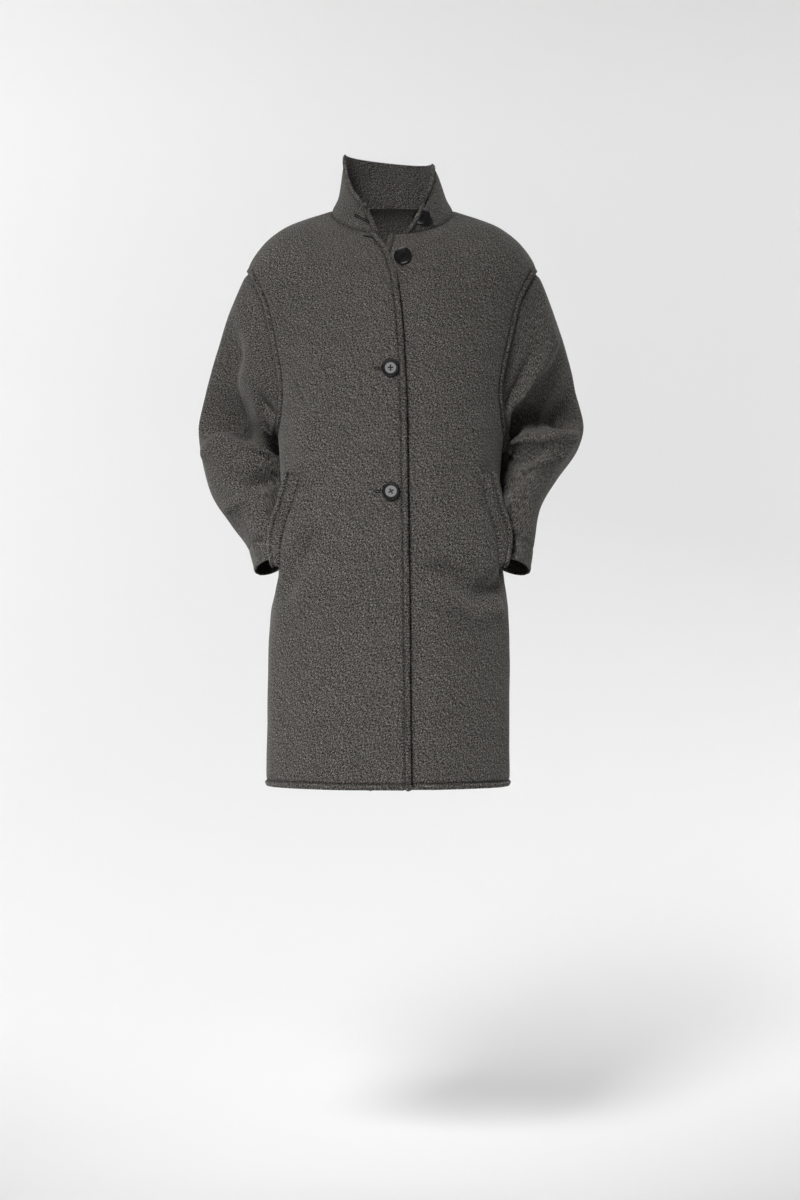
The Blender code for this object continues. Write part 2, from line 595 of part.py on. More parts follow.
def make_collar(collection):
    """One band from the left end round the back to the right end, on the panels' own columns."""
    stations, turns = body_rows()
    heights = np.linspace(0, COLLAR.stations[-1], COLLAR_STEPS + 1)
    front_z = COLLAR.at(heights)["front_z"]
    ends = ENDS.at(ENDS.station_where("front_z", front_z))
    row = COLLAR.at(heights)
    reach = row["half_width"] * (1 + row["fullness"])
    left_end = np.arcsin(ends["left_x"] / reach)
    right_end = 2 * math.pi + np.arcsin(ends["right_x"] / reach)
    left = front_angles(stations, turns, 1, "left_x")[-1]
    right = front_angles(stations, turns, -1, "right_x")[-1][::-1] + 2 * math.pi
    back = back_angles(turns)[-1]
    clear = math.radians(COLLAR_END_CLEARANCE)
    seam = np.concatenate(
        [
            left_end[:1],
            left[left > left_end[0] + clear][:-1],
            back,
            right[right < right_end[0] - clear][1:],
            right_end[:1],
        ]
    )
    left_share = np.clip((SHOULDER_SEAM - seam) / (SHOULDER_SEAM - left_end[0]), 0, 1)
    right_side = 2 * math.pi - SHOULDER_SEAM
    right_share = np.clip((seam - right_side) / (right_end[0] - right_side), 0, 1)
    angles = (
        seam[None, :]
        + (left_end - left_end[0])[:, None] * left_share
        + (right_end - right_end[0])[:, None] * right_share
    )
    grid = np.broadcast_to(heights[:, None], angles.shape)
    normals = slope_normal(collar_point, angles, grid)
    neck = np.full(len(seam), BODY.named["neck"])
    normals[0] = shared_normal(normals[0], slope_normal(body_point, seam, neck))
    points = seam_inset(collar_point(angles, grid), normals, ("first_row",))
    cloth_wall("collar", points, normals, collection)


def make_welt(name, side, surface, collection):
    """A pocket welt: the front's own points along the seam line, moved out and carried sideways."""
    row = WELT.at(np.linspace(0, WELT.stations[-1], WELT_LONG_STEPS + 1))
    station = BODY.station_where("front_z", row["z"])
    angle = side * np.radians(row["angle"])
    seam = surface(angle, station)
    outward = slope_normal(surface, angle, station)
    sideways = unit(surface(angle + side * SLOPE_STEP, station) - seam)
    across = sideways * math.cos(WELT_SWING) + outward * math.sin(WELT_SWING)
    facing = outward * math.cos(WELT_SWING) - sideways * math.sin(WELT_SWING)
    share = np.linspace(0, 1, WELT_CROSS_STEPS + 1)[None, :, None]
    seat = seam + outward * WELT_SEAT + facing * WELT_CLOTH
    points = seat[:, None] + across[:, None] * row["reach"][:, None, None] * share
    normals = np.broadcast_to(facing[:, None], points.shape)
    cloth_wall(name, points, normals, collection, thickness=WELT_CLOTH, flip=side < 0)


def button_mesh(collection, cutters):
    """One turned button with its four holes cut through."""
    profile = bpy.data.meshes.new("button_profile")
    outline = [(BUTTON_RADIUS * share, 0.0, height) for _, share, height in BUTTON_PROFILE]
    profile.from_pydata(outline, [(i, i + 1) for i in range(len(outline) - 1)], [])
    turned = bpy.data.objects.new("button_pattern", profile)
    collection.objects.link(turned)
    screw = turned.modifiers.new("turn", "SCREW")
    screw.axis = "Z"
    screw.steps = BUTTON_SIDES
    screw.render_steps = BUTTON_SIDES
    screw.use_merge_vertices = True
    screw.merge_threshold = MERGE_DISTANCE
    screw.use_normal_calculate = True

    holes = bmesh.new()
    for quarter in range(4):
        spin = Matrix.Rotation(math.radians(90 * quarter), 4, "Z")
        bmesh.ops.create_cone(
            holes,
            cap_ends=True,
            segments=BUTTON_HOLE_SIDES,
            radius1=BUTTON_HOLE_RADIUS,
            radius2=BUTTON_HOLE_RADIUS,
            depth=BUTTON_HOLE_CUT,
            matrix=spin @ Matrix.Translation((BUTTON_HOLE_OFFSET, 0, 0)),
        )
    hole_mesh = bpy.data.meshes.new("button_holes")
    holes.to_mesh(hole_mesh)
    holes.free()
    cutter = bpy.data.objects.new("button_holes", hole_mesh)
    cutter.display_type = "WIRE"
    cutter.hide_render = True
    cutters.objects.link(cutter)
    cut = turned.modifiers.new("holes", "BOOLEAN")
    cut.operation = "DIFFERENCE"
    cut.solver = "EXACT"
    cut.object = cutter

    bpy.context.view_layer.update()
    evaluated = turned.evaluated_get(bpy.context.evaluated_depsgraph_get())
    finished = bpy.data.meshes.new_from_object(evaluated)
    finished.name = "button"
    finished.set_sharp_from_angle(angle=BUTTON_SHARP_EDGE)
    bpy.data.objects.remove(turned)
    bpy.data.objects.remove(cutter)
    return finished


def place_button(name, mesh, point, outward, seat, material, collection):
    """A button above a surface point, its face along the surface's normal."""
    made = add_object(name, mesh, material, collection)
    facing = Vector(outward).to_track_quat("Z", "Y").to_matrix().to_4x4()
    made.matrix_world = Matrix.Translation(leaned(point + outward * seat)) @ facing


def make_buttons(material, collection, cutters):
    mesh = button_mesh(collection, cutters)
    surfaces = {"left": body_point, "right": right_front_point}
    for name, front, x, z in FRONT_BUTTONS:
        station = BODY.station_where("front_z", z)
        row = BODY.at(station)
        angle = np.arcsin(x / (row["half_width"] * (1 + row["fullness"])))
        surface = surfaces[front]
        outward = slope_normal(surface, angle, station)
        point = surface(angle, station)
        place_button(name, mesh, point, outward, BUTTON_SEAT, material, collection)
    station = COLLAR.stations[-1] * COLLAR_BUTTON_SHARE
    outward = slope_normal(collar_point, COLLAR_BUTTON_ANGLE, station)
    point = collar_point(COLLAR_BUTTON_ANGLE, station)
    place_button("button_collar", mesh, point, outward, COLLAR_BUTTON_SEAT, material, collection)


def main():
    for old in list(bpy.data.objects):
        bpy.data.objects.remove(old)
    coat = bpy.data.collections.new("short_coat")
    cutters = bpy.data.collections.new("cutters")
    for collection in (coat, cutters):
        bpy.context.scene.collection.children.link(collection)
    sleeves = {
        "left": Sleeve(1, LEFT_SLEEVE, LEFT_SLEEVE_FOLDS),
        "right": Sleeve(-1, RIGHT_SLEEVE, RIGHT_SLEEVE_FOLDS),
    }
    make_body(sleeves, coat)
    make_sleeve(sleeves["left"], "sleeve_left", coat)
    make_sleeve(sleeves["right"], "sleeve_right", coat)
    make_collar(coat)
    make_welt("welt_left", 1, body_point, coat)
    make_welt("welt_right", -1, right_front_point, coat)
    make_buttons(make_material("button", BUTTON_COLOUR, BUTTON_ROUGHNESS), coat, cutters)


main()
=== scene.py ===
"""Short wool coat with a stand collar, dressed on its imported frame.

Metres, +Z up, the front towards -Y and the wearer's left towards +X.
"""

import math
from collections import namedtuple

import bpy
import numpy as np
from mathutils import Matrix, Vector
from mathutils.bvhtree import BVHTree
from mathutils.kdtree import KDTree


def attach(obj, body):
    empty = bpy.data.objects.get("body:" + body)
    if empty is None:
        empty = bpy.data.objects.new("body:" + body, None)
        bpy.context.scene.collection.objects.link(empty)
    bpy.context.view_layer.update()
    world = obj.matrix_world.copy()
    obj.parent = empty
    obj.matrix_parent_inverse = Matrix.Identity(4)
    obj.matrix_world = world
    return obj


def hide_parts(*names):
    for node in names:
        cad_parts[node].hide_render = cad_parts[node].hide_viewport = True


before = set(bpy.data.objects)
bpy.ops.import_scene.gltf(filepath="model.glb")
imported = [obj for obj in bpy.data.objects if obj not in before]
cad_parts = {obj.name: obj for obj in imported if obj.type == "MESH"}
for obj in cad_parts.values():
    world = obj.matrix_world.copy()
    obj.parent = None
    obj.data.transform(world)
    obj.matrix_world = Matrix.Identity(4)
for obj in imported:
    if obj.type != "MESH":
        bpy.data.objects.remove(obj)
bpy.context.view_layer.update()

# Cloth and sewing
CLOTH = 0.0025
WELT_CLOTH = 0.0030
LAP = 0.0036
LAP_FROM, LAP_TO = math.radians(-32), math.radians(-16)
LAP_FADE = 0.070
SLOPE_STEP = 1e-4
SEARCH_STEPS = 600
LEAN = 0.0078

# The coat's rings from the hem to the neck seam, and the collar's from its seam to its top edge
RING_COLUMNS = ("side_z", "front_z", "back_z", "half_width", "front_y", "back_y", "fullness", "dip")
BODY_RINGS = (
    ("hem", -0.917, -0.917, -0.917, 0.192, -0.136, 0.132, 0.17, 2.0),
    ("skirt", -0.790, -0.790, -0.790, 0.192, -0.139, 0.135, 0.16, 2.0),
    ("hip", -0.660, -0.660, -0.660, 0.191, -0.141, 0.137, 0.15, 2.0),
    ("pocket", -0.555, -0.555, -0.555, 0.188, -0.142, 0.137, 0.14, 2.0),
    ("waist", -0.445, -0.445, -0.445, 0.177, -0.142, 0.136, 0.13, 2.0),
    ("underarm", -0.360, -0.365, -0.360, 0.181, -0.141, 0.135, 0.12, 2.0),
    ("chest", -0.285, -0.296, -0.283, 0.193, -0.139, 0.133, 0.11, 2.0),
    ("upper_chest", -0.215, -0.234, -0.208, 0.209, -0.136, 0.129, 0.10, 2.0),
    ("armhole", -0.155, -0.182, -0.144, 0.222, -0.131, 0.123, 0.09, 2.0),
    ("shoulder_point", -0.100, -0.138, -0.086, 0.231, -0.125, 0.115, 0.08, 2.0),
    ("shoulder", -0.058, -0.104, -0.044, 0.206, -0.117, 0.104, 0.07, 2.0),
    ("shoulder_slope", -0.032, -0.082, -0.017, 0.174, -0.109, 0.094, 0.06, 1.8),
    ("neck_slope", -0.014, -0.063, 0.003, 0.132, -0.099, 0.083, 0.05, 1.4),
    ("neck", -0.003, -0.050, 0.014, 0.097, -0.089, 0.073, 0.05, 1.0),
)
COLLAR_RINGS = (
    ("seam", -0.003, -0.050, 0.014, 0.097, -0.089, 0.073, 0.05, 1.0),
    ("flare", 0.014, -0.043, 0.030, 0.087, -0.088, 0.071, 0.06, 1.0),
    ("stand", 0.036, -0.034, 0.050, 0.081, -0.090, 0.073, 0.06, 1.0),
    ("upper", 0.058, -0.026, 0.070, 0.076, -0.093, 0.076, 0.06, 1.0),
    ("top", 0.079, -0.018, 0.086, 0.0705, -0.096, 0.078, 0.06, 1.0),
)
COLLAR_DRIFT = -0.007
COLLAR_TILT = 0.100

# The fronts' own edges and the collar's ends, as distances from the centre line at a front height
EDGE_COLUMNS = ("front_z", "right_x", "left_x")
FRONT_EDGES = (
    ("hem", -0.917, 0.0345, -0.030),
    ("lower_button", -0.456, 0.0255, -0.030),
    ("middle_button", -0.265, 0.0200, -0.029),
    ("chest", -0.158, 0.0115, -0.026),
    ("opening", -0.110, 0.0035, -0.019),
    ("top_button", -0.082, -0.0070, -0.012),
    ("neck", -0.050, -0.0290, -0.003),
)
COLLAR_ENDS = (
    ("seam", -0.050, -0.0215, 0.0200),
    ("stand", -0.034, -0.0290, 0.0360),
    ("top", -0.018, -0.0360, 0.0567),
)

# The armhole
ARMHOLE_FRONT_GAP = math.radians(33)
ARMHOLE_BACK_GAP = math.radians(28)
ARMHOLE_ROUNDING = 3.0
SHOULDER_SEAM = math.radians(90)
SIDE_SEAM = math.radians(100)

# The sleeves from the armhole to the cuff
SLEEVE_COLUMNS = ("out_x", "out_y", "out_z", "in_x", "in_y", "in_z", "half_depth", "lift", "pull")
LEFT_SLEEVE = (
    ("armhole", 0.231, 0.004, -0.100, 0.178, 0.030, -0.360, 0.084, 0.000, 0.014),
    ("shoulder", 0.258, 0.018, -0.160, 0.187, 0.048, -0.371, 0.084, 0.000, 0.010),
    ("upper_arm", 0.281, 0.034, -0.225, 0.174, 0.066, -0.385, 0.081, 0.000, 0.006),
    ("above_elbow", 0.299, 0.050, -0.290, 0.163, 0.070, -0.401, 0.077, 0.002, 0.002),
    ("elbow", 0.312, 0.060, -0.348, 0.157, 0.068, -0.418, 0.073, 0.006, 0.000),
    ("below_elbow", 0.303, 0.058, -0.378, 0.160, 0.062, -0.436, 0.068, 0.012, 0.000),
    ("forearm", 0.272, 0.046, -0.424, 0.162, 0.047, -0.458, 0.063, 0.018, 0.000),
    ("mid_forearm", 0.242, 0.022, -0.472, 0.165, 0.022, -0.490, 0.057, 0.020, 0.000),
    ("wrist", 0.232, -0.004, -0.526, 0.166, -0.004, -0.528, 0.050, 0.016, 0.000),
    ("cuff", 0.224, -0.020, -0.578, 0.167, -0.020, -0.562, 0.044, 0.011, 0.000),
)
RIGHT_SLEEVE = (
    ("armhole", 0.231, 0.004, -0.100, 0.178, 0.030, -0.360, 0.084, 0.000, 0.014),
    ("shoulder", 0.259, 0.018, -0.160, 0.187, 0.048, -0.371, 0.084, 0.000, 0.010),
    ("upper_arm", 0.281, 0.034, -0.225, 0.174, 0.066, -0.385, 0.081, 0.000, 0.006),
    ("above_elbow", 0.300, 0.050, -0.290, 0.163, 0.070, -0.401, 0.077, 0.002, 0.002),
    ("elbow", 0.313, 0.060, -0.348, 0.157, 0.068, -0.418, 0.074, 0.006, 0.000),
    ("below_elbow", 0.306, 0.058, -0.400, 0.160, 0.062, -0.438, 0.071, 0.010, 0.000),
    ("forearm", 0.290, 0.046, -0.452, 0.162, 0.047, -0.464, 0.067, 0.016, 0.000),
    ("mid_forearm", 0.258, 0.022, -0.498, 0.165, 0.022, -0.498, 0.060, 0.020, 0.000),
    ("wrist", 0.228, -0.004, -0.538, 0.166, -0.004, -0.534, 0.051, 0.017, 0.000),
    ("cuff", 0.215, -0.020, -0.578, 0.166, -0.020, -0.562, 0.044, 0.011, 0.000),
)
ARMHOLE_BLEND = 0.30
FOLD_FADE = 0.06
OUTER_FADE = 26  # degrees from a sleeve's outer line over which its folds begin
UPPER_SLEEVE_FROM = -30
UPPER_SLEEVE_TO = 180

# Folds and creases, each a trough or ridge along a line; depth below 0 goes in. Where a row ends in a
# sharpness it is crisper than the soft folds: 1 would come to an edge. Rows of one name make a bent fold
SOFT_FOLD = 2
BODY_DEGREE = math.radians(1) * 0.165
BODY_FOLDS = (
    # name, angle_from, z_from, angle_to, z_to, width, depth
    ("left_pocket_hand", 52, -0.510, 58, -0.570, 0.045, 0.008),
    ("left_pocket_mouth", 100, -0.475, 82, -0.565, 0.038, -0.032),
    ("left_arm", 108, -0.395, 107, -0.450, 0.036, -0.015),
    ("left_underarm", 93, -0.372, 95, -0.392, 0.020, -0.003),
    ("left_above_pocket", 44, -0.360, 49, -0.450, 0.022, 0.006),
    ("left_below_pocket", 62, -0.585, 46, -0.640, 0.018, -0.006),
    ("left_skirt", 40, -0.700, 36, -0.910, 0.060, -0.006),
    ("left_bag", 22, -0.582, 42, -0.614, 0.019, -0.012),
    ("left_bag", 42, -0.614, 62, -0.606, 0.019, -0.012),
    ("left_bag_ridge", 18, -0.604, 36, -0.648, 0.015, 0.008),
    ("left_bag_ridge", 36, -0.648, 60, -0.642, 0.015, 0.008),
    ("left_drag", 30, -0.140, 60, -0.290, 0.040, -0.003),
    ("left_hem_swell", 20, -0.780, 18, -0.930, 0.045, 0.004),
    ("left_side_swell", 68, -0.690, 72, -0.930, 0.045, 0.004),
    ("right_pocket_hand", -52, -0.510, -58, -0.570, 0.045, 0.008),
    ("right_pocket_mouth", -103, -0.480, -86, -0.565, 0.042, -0.035),
    ("right_arm", -108, -0.395, -107, -0.450, 0.036, -0.015),
    ("right_underarm", -93, -0.372, -95, -0.392, 0.020, -0.003),
    ("right_above_pocket", -42, -0.370, -48, -0.450, 0.026, 0.005),
    ("right_below_pocket", -64, -0.585, -50, -0.635, 0.020, -0.005),
    ("right_skirt", -46, -0.720, -42, -0.910, 0.070, -0.005),
    ("right_bag", -38, -0.540, -52, -0.605, 0.020, -0.008),
    ("right_bag_ridge", -30, -0.600, -50, -0.632, 0.018, 0.004),
    ("right_drag", -34, -0.150, -62, -0.290, 0.045, -0.003),
    ("right_hem_swell", -24, -0.800, -22, -0.930, 0.050, 0.004),
    ("right_side_swell", -70, -0.700, -74, -0.930, 0.045, 0.004),
    ("back_left_blade", 146, -0.330, 152, -0.880, 0.040, -0.013),
    ("back_right_blade", 214, -0.350, 207, -0.880, 0.045, -0.011),
    ("back_centre", 180, -0.260, 178, -0.850, 0.048, 0.007),
    ("back_left_drag", 152, -0.160, 124, -0.320, 0.028, -0.007),
    ("back_right_drag", 209, -0.170, 236, -0.325, 0.026, -0.006),
    ("back_left_waist", 128, -0.440, 154, -0.405, 0.020, -0.008),
    ("back_right_waist", 233, -0.450, 208, -0.410, 0.022, -0.007),
    ("back_left_hem", 163, -0.720, 166, -0.930, 0.040, 0.007),
    ("back_right_hem", 197, -0.740, 195, -0.930, 0.044, 0.006),
)
SLEEVE_DEGREE = math.radians(1) * 0.070
SLEEVE_RUN = 0.500
LEFT_SLEEVE_FOLDS = (
    # name, degrees_from, along_from, degrees_to, along_to, width, depth, sharpness
    ("head_hollow", 95, 0.055, 30, 0.055, 0.018, -0.005),
    ("armpit_hole", 112, 0.080, 88, 0.145, 0.012, -0.014, 1.8),
    ("armpit_ridge", 100, 0.165, 62, 0.195, 0.015, 0.016, 1.8),
    ("armpit_ridge", 62, 0.195, 42, 0.190, 0.016, 0.014, 1.8),
    ("elbow_hollow", 122, 0.215, 93, 0.300, 0.029, -0.046),
    ("elbow_hollow", 93, 0.300, 72, 0.385, 0.029, -0.046),
    ("elbow_hollow", 72, 0.385, 30, 0.440, 0.029, -0.044),
    ("elbow_ridge", 128, 0.355, 80, 0.480, 0.017, 0.008),
    ("elbow_ridge", 80, 0.480, 36, 0.530, 0.016, 0.009),
    ("under_elbow_hollow", 128, 0.460, 98, 0.575, 0.019, -0.012),
    ("forearm_swell", 110, 0.620, 50, 0.620, 0.030, 0.005),
    ("forearm_hollow", 118, 0.700, 84, 0.680, 0.016, -0.005),
    ("seam_ridge", 36, 0.710, 64, 0.790, 0.008, 0.004, 1.5),
    ("seam_ridge", 64, 0.790, 44, 0.880, 0.008, 0.004, 1.5),
    ("wrist_hollow", 74, 0.850, 92, 0.930, 0.014, -0.003),
    ("back_elbow", 215, 0.460, 300, 0.420, 0.018, -0.010),
    ("back_elbow_upper", 222, 0.360, 290, 0.330, 0.018, -0.006),
    ("back_elbow_ridge", 218, 0.410, 296, 0.375, 0.014, 0.005),
    ("back_forearm", 230, 0.660, 300, 0.600, 0.018, -0.007),
)
RIGHT_SLEEVE_FOLDS = (
    ("head_hollow", 95, 0.055, 30, 0.055, 0.018, -0.005),
    ("armpit_hole", 122, 0.105, 104, 0.180, 0.012, -0.016, 1.8),
    ("upper_hollow", 40, 0.210, 32, 0.380, 0.030, -0.026),
    ("elbow_hollow", 80, 0.350, 16, 0.455, 0.036, -0.052),
    ("elbow_swell", 112, 0.265, 94, 0.325, 0.024, 0.015),
    ("elbow_crease", 132, 0.335, 108, 0.375, 0.023, -0.048),
    ("elbow_crease", 108, 0.375, 78, 0.436, 0.022, -0.044),
    ("elbow_lip", 112, 0.462, 60, 0.500, 0.016, 0.009),
    ("elbow_lip", 60, 0.500, 24, 0.575, 0.018, 0.008),
    ("forearm_swell", 120, 0.590, 60, 0.600, 0.030, 0.004),
    ("forearm_hollow", 124, 0.640, 98, 0.690, 0.016, -0.012),
    ("seam_ridge", 24, 0.800, 70, 0.790, 0.008, 0.005, 1.5),
    ("seam_ridge", 70, 0.790, 58, 0.900, 0.008, 0.004, 1.5),
    ("seam_hollow", 30, 0.850, 56, 0.850, 0.016, -0.003),
    ("back_elbow", 215, 0.470, 300, 0.430, 0.018, -0.010),
    ("back_elbow_upper", 224, 0.370, 292, 0.330, 0.018, -0.006),
    ("back_elbow_ridge", 220, 0.420, 298, 0.385, 0.014, 0.005),
    ("back_forearm", 230, 0.680, 300, 0.620, 0.018, -0.007),
)
FOLD_DROOP = 0.5  # how far a sleeve's folds sag, for each metre of depth

# Where the fronts overlap, the upper one's edge lifts and the lower one falls back beside it
EDGE_LIFT = 0.0034
EDGE_LIFT_WIDTH = 0.024
EDGE_FADE = 0.028
OVERLAP_FALL = 0.0050
OVERLAP_FALL_AT = 0.006
OVERLAP_FALL_WIDTH = 0.022

# Pocket welts
WELT_COLUMNS = ("z", "angle", "reach")
POCKET_WELT = (
    ("bottom", -0.570, 59, 0.016),
    ("lower", -0.530, 58, 0.025),
    ("upper", -0.470, 52, 0.025),
    ("top", -0.426, 47, 0.024),
)
WELT_SEAT = 0.0005
WELT_SWING = math.radians(28)
WELT_CROWN = 0.0012  # how far a welt's face swells between its edges
WELT_STITCH_AT = 0.004

# How an edge or a seam is finished: a rolled bead, the groove that its stitches draw, and a dip
FINISH_STEPS = np.array(
    (0.0, 0.0008, 0.0020, 0.0036, 0.0052, 0.0064, 0.0072, 0.0078, 0.0084, 0.0093, 0.0106, 0.0130, 0.0180)
)
Finish = namedtuple("Finish", "bead bead_at bead_width groove groove_at groove_width dip dip_width")
TURNED_EDGE = Finish(0.0024, 0.0036, 0.0031, 0.0022, 0.0078, 0.0017, 0.0, 1.0)
LAPPED_SEAM = Finish(0.0025, 0.0030, 0.0034, 0.0020, 0.0076, 0.0016, 0.0, 1.0)
COVERED_SEAM = Finish(0.0, 0.0, 1.0, 0.0, 0.0, 1.0, 0.0042, 0.0070)
PLAIN_SEAM = Finish(0.0, 0.0, 1.0, 0.0, 0.0, 1.0, 0.0012, 0.0030)
CUFF_TURN = Finish(0.0006, 0.0032, 0.0040, 0.0011, 0.0380, 0.0016, 0.0, 1.0)
RIM_STEPS = 4
SHARP_ANGLE = math.radians(60)
SEWN_BULGE = 0.8
HANDLE_SLOW, HANDLE_QUICK = 0.0008, 0.0004
HANDLE_FADE = 0.025  # distance from an edge over which the cloth's unevenness begins
LINE_STEP = 0.0008  # how closely an edge is sampled for distances from it
PROBE_STEPS = 160

# Stitches
STITCH_LENGTH = 0.0034
STITCH_PITCH = 0.0044
STITCH_RADIUS = 0.00032
STITCH_SIDES = 5
STITCH_LIFT = (-0.0001, 0.00022, 0.00022, -0.0001)
BUTTONHOLE_LENGTH = 0.0280
BUTTONHOLE_REACH = 0.0023
BUTTONHOLE_SLIT = 0.0005
BUTTONHOLE_PITCH = 0.0008
BUTTONHOLE_END_STEPS = 8
BUTTONHOLE_STITCH_RADIUS = STITCH_RADIUS * 1.15
BUTTONHOLES = ((-0.0330, -0.0620), (-0.0100, -0.2655), (-0.0080, -0.4565))  # x and z on the right front
BUTTONHOLE_AIM = 0.01  # angle further round, towards which a buttonhole runs
COLLAR_HOLE_ANGLE = 2 * math.pi - math.radians(33)
COLLAR_HOLE_SHARE = 0.42

# Buttons
BUTTON_RADIUS = 0.0142
BUTTON_SEAT = 0.0003
COLLAR_BUTTON_SEAT = 0.0006
BUTTON_SIDES = 64
BUTTON_STEPS = (
    # height and share of the radius, from the back's edge to the middle of the dish
    (0.0008, 0.90), (0.0022, 0.985), (0.0034, 1.00), (0.0043, 0.97), (0.0047, 0.92), (0.0045, 0.86),
    (0.0037, 0.80), (0.0027, 0.755), (0.0023, 0.715), (0.0027, 0.67), (0.0033, 0.63), (0.0034, 0.59),
    (0.0032, 0.38), (0.0031, 0.18),
)
BUTTON_BACK = 0.70
BUTTON_HOLE_RADIUS = 0.00130
BUTTON_HOLE_OFFSET = 0.0032
BUTTON_HOLE_SIDES = 16
DRILL_LENGTH = 0.02
DRILL_HEIGHT = 0.002
BUTTON_THREAD_HEIGHT = 0.0032
BUTTON_THREAD_RADIUS = 0.0004
BUTTONS = (
    # name, front, x, z, turn of its holes
    ("button_top", "left", 0.0170, -0.088, 10),
    ("button_middle", "right", 0.0000, -0.265, 0),
    ("button_lower", "right", 0.0020, -0.456, 28),
)
COLLAR_BUTTON_ANGLE = math.radians(35)
COLLAR_BUTTON_SHARE = 0.50
COLLAR_BUTTON_TURN = 20

# The wool's grains: the direction in degrees, the size along and across it, and the detail
WOOL_GRAINS = (
    (52, (0.0034, 0.0013), 1.0),  # nap
    (0, (0.0010, 0.0010), 1.0),  # fleck
    (38, (0.0044, 0.0007), 1.0),  # hair
    (20, (0.050, 0.030), 2.0),  # cloud
    (0, (0.0060, 0.0060), 1.0),  # tone
)
NAP_HEIGHT = 0.0008

# Studio
SWEEP_FLOOR = -1.56
SWEEP_SIZE = (14, 9, 1)
SWEEP_WALL = 7
SWEEP_CORNER = 2.5
LIGHTS = (
    # name, place, aim, size, power, spread in degrees
    ("key", (-0.95, -3.15, 1.75), (-0.08, 0, -1.15), (0.9, 1.1), 13.6, 46),
    ("mirrored_softbox", (-0.6, -4.6, -0.35), (0, 0, -0.40), (3.2, 2.4), 66, 180),
    ("fill", (1.9, -3.3, -0.1), (0, 0, -0.5), (1.4, 1.6), 0.8, 180),
    ("wall_left", (-3.0, 1.0, 1.0), (-0.9, 4.5, 0.4), (1.5, 2.5), 126, 180),
    ("wall_right", (3.2, 1.0, 0.2), (0.8, 4.5, -0.4), (1.5, 2.5), 84, 180),
    ("floor", (0, 1.2, 2.6), (0, 2.2, -1.5), (2.4, 1.2), 16, 180),
    ("back_softbox", (0.9, 3.2, 1.3), (0, 0, -0.45), (1.6, 1.6), 16, 180),
)
CAMERA_PLACE = (0.012, -4.2, -0.624)
SENSOR_HEIGHT = 36
VIEW_HEIGHT = 1.92  # how much of the coat's plane the picture takes in, from top to bottom

# Each panel's cut: width, length and flat area
PANEL_CUTS = {
    "back": (0.600, 1.110, 0.434),
    "front_left": (0.345, 1.110, 0.270),
    "front_right": (0.345, 1.110, 0.267),
    "collar": (0.550, 0.100, 0.037),
    "sleeve_left_upper": (0.410, 0.540, 0.097),
    "sleeve_left_under": (0.310, 0.540, 0.066),
    "sleeve_right_upper": (0.410, 0.545, 0.100),
    "sleeve_right_under": (0.310, 0.545, 0.069),
    "welt_left": (0.027, 0.156, 0.0036),
    "welt_right": (0.027, 0.156, 0.0036),
}
# How many steps a panel's grid has between the close ones at its edges
PANEL_STEPS = {
    "front": 52, "back": 88, "collar": 96, "collar_height": 14, "sleeve_upper": 62, "sleeve_under": 44,
    "sleeve_length": 78, "welt": 4, "welt_length": 30,
}
# How many rows the body's panels have from one named ring to the next
ROW_COUNTS = {"skirt": 30, "pocket": 40, "waist": 18, "armhole": 73, "shoulder": 24}


class SmoothTable:
    """The rows of a table with named columns, read between its rows along smooth curves."""

    def __init__(self, columns, rows, run_along):
        self.columns = columns
        self.values = np.array([row[1:] for row in rows])
        along = self.values[:, [columns.index(name) for name in run_along]]
        steps = np.linalg.norm(np.diff(along, axis=0), axis=1)
        self.stations = np.concatenate([[0.0], np.cumsum(steps)])
        self.named = dict(zip([row[0] for row in rows], self.stations))
        self.slopes = np.gradient(self.values, self.stations, axis=0)

    def at(self, station):
        station = np.asarray(station, float)
        low = np.clip(np.searchsorted(self.stations, station) - 1, 0, len(self.stations) - 2)
        span = self.stations[low + 1] - self.stations[low]
        t = ((station - self.stations[low]) / span)[..., None]
        span = span[..., None]
        value = (
            self.values[low] * (1 + 2 * t) * (1 - t) ** 2
            + self.slopes[low] * span * t * (1 - t) ** 2
            + self.values[low + 1] * t**2 * (3 - 2 * t)
            + self.slopes[low + 1] * span * t**2 * (t - 1)
        )
        return {name: value[..., i] for i, name in enumerate(self.columns)}

    def station_where(self, column, wanted):
        fine = np.linspace(self.stations[0], self.stations[-1], SEARCH_STEPS)
        return np.interp(wanted, self.at(fine)[column], fine)


BODY = SmoothTable(RING_COLUMNS, BODY_RINGS, ("half_width", "side_z"))
COLLAR = SmoothTable(RING_COLUMNS, COLLAR_RINGS, ("half_width", "side_z"))
EDGES = SmoothTable(EDGE_COLUMNS, FRONT_EDGES, ("front_z",))
ENDS = SmoothTable(EDGE_COLUMNS, COLLAR_ENDS, ("front_z",))
WELT = SmoothTable(WELT_COLUMNS, POCKET_WELT, ("z",))


def unit(vectors):
    return vectors / np.maximum(np.linalg.norm(vectors, axis=-1, keepdims=True), 1e-12)


def smooth_step(low, high, value):
    t = np.clip((value - low) / (high - low), 0, 1)
    return t * t * (3 - 2 * t)


def stacked(x, y, z):
    return np.stack(np.broadcast_arrays(x, y, z), axis=-1).astype(float)


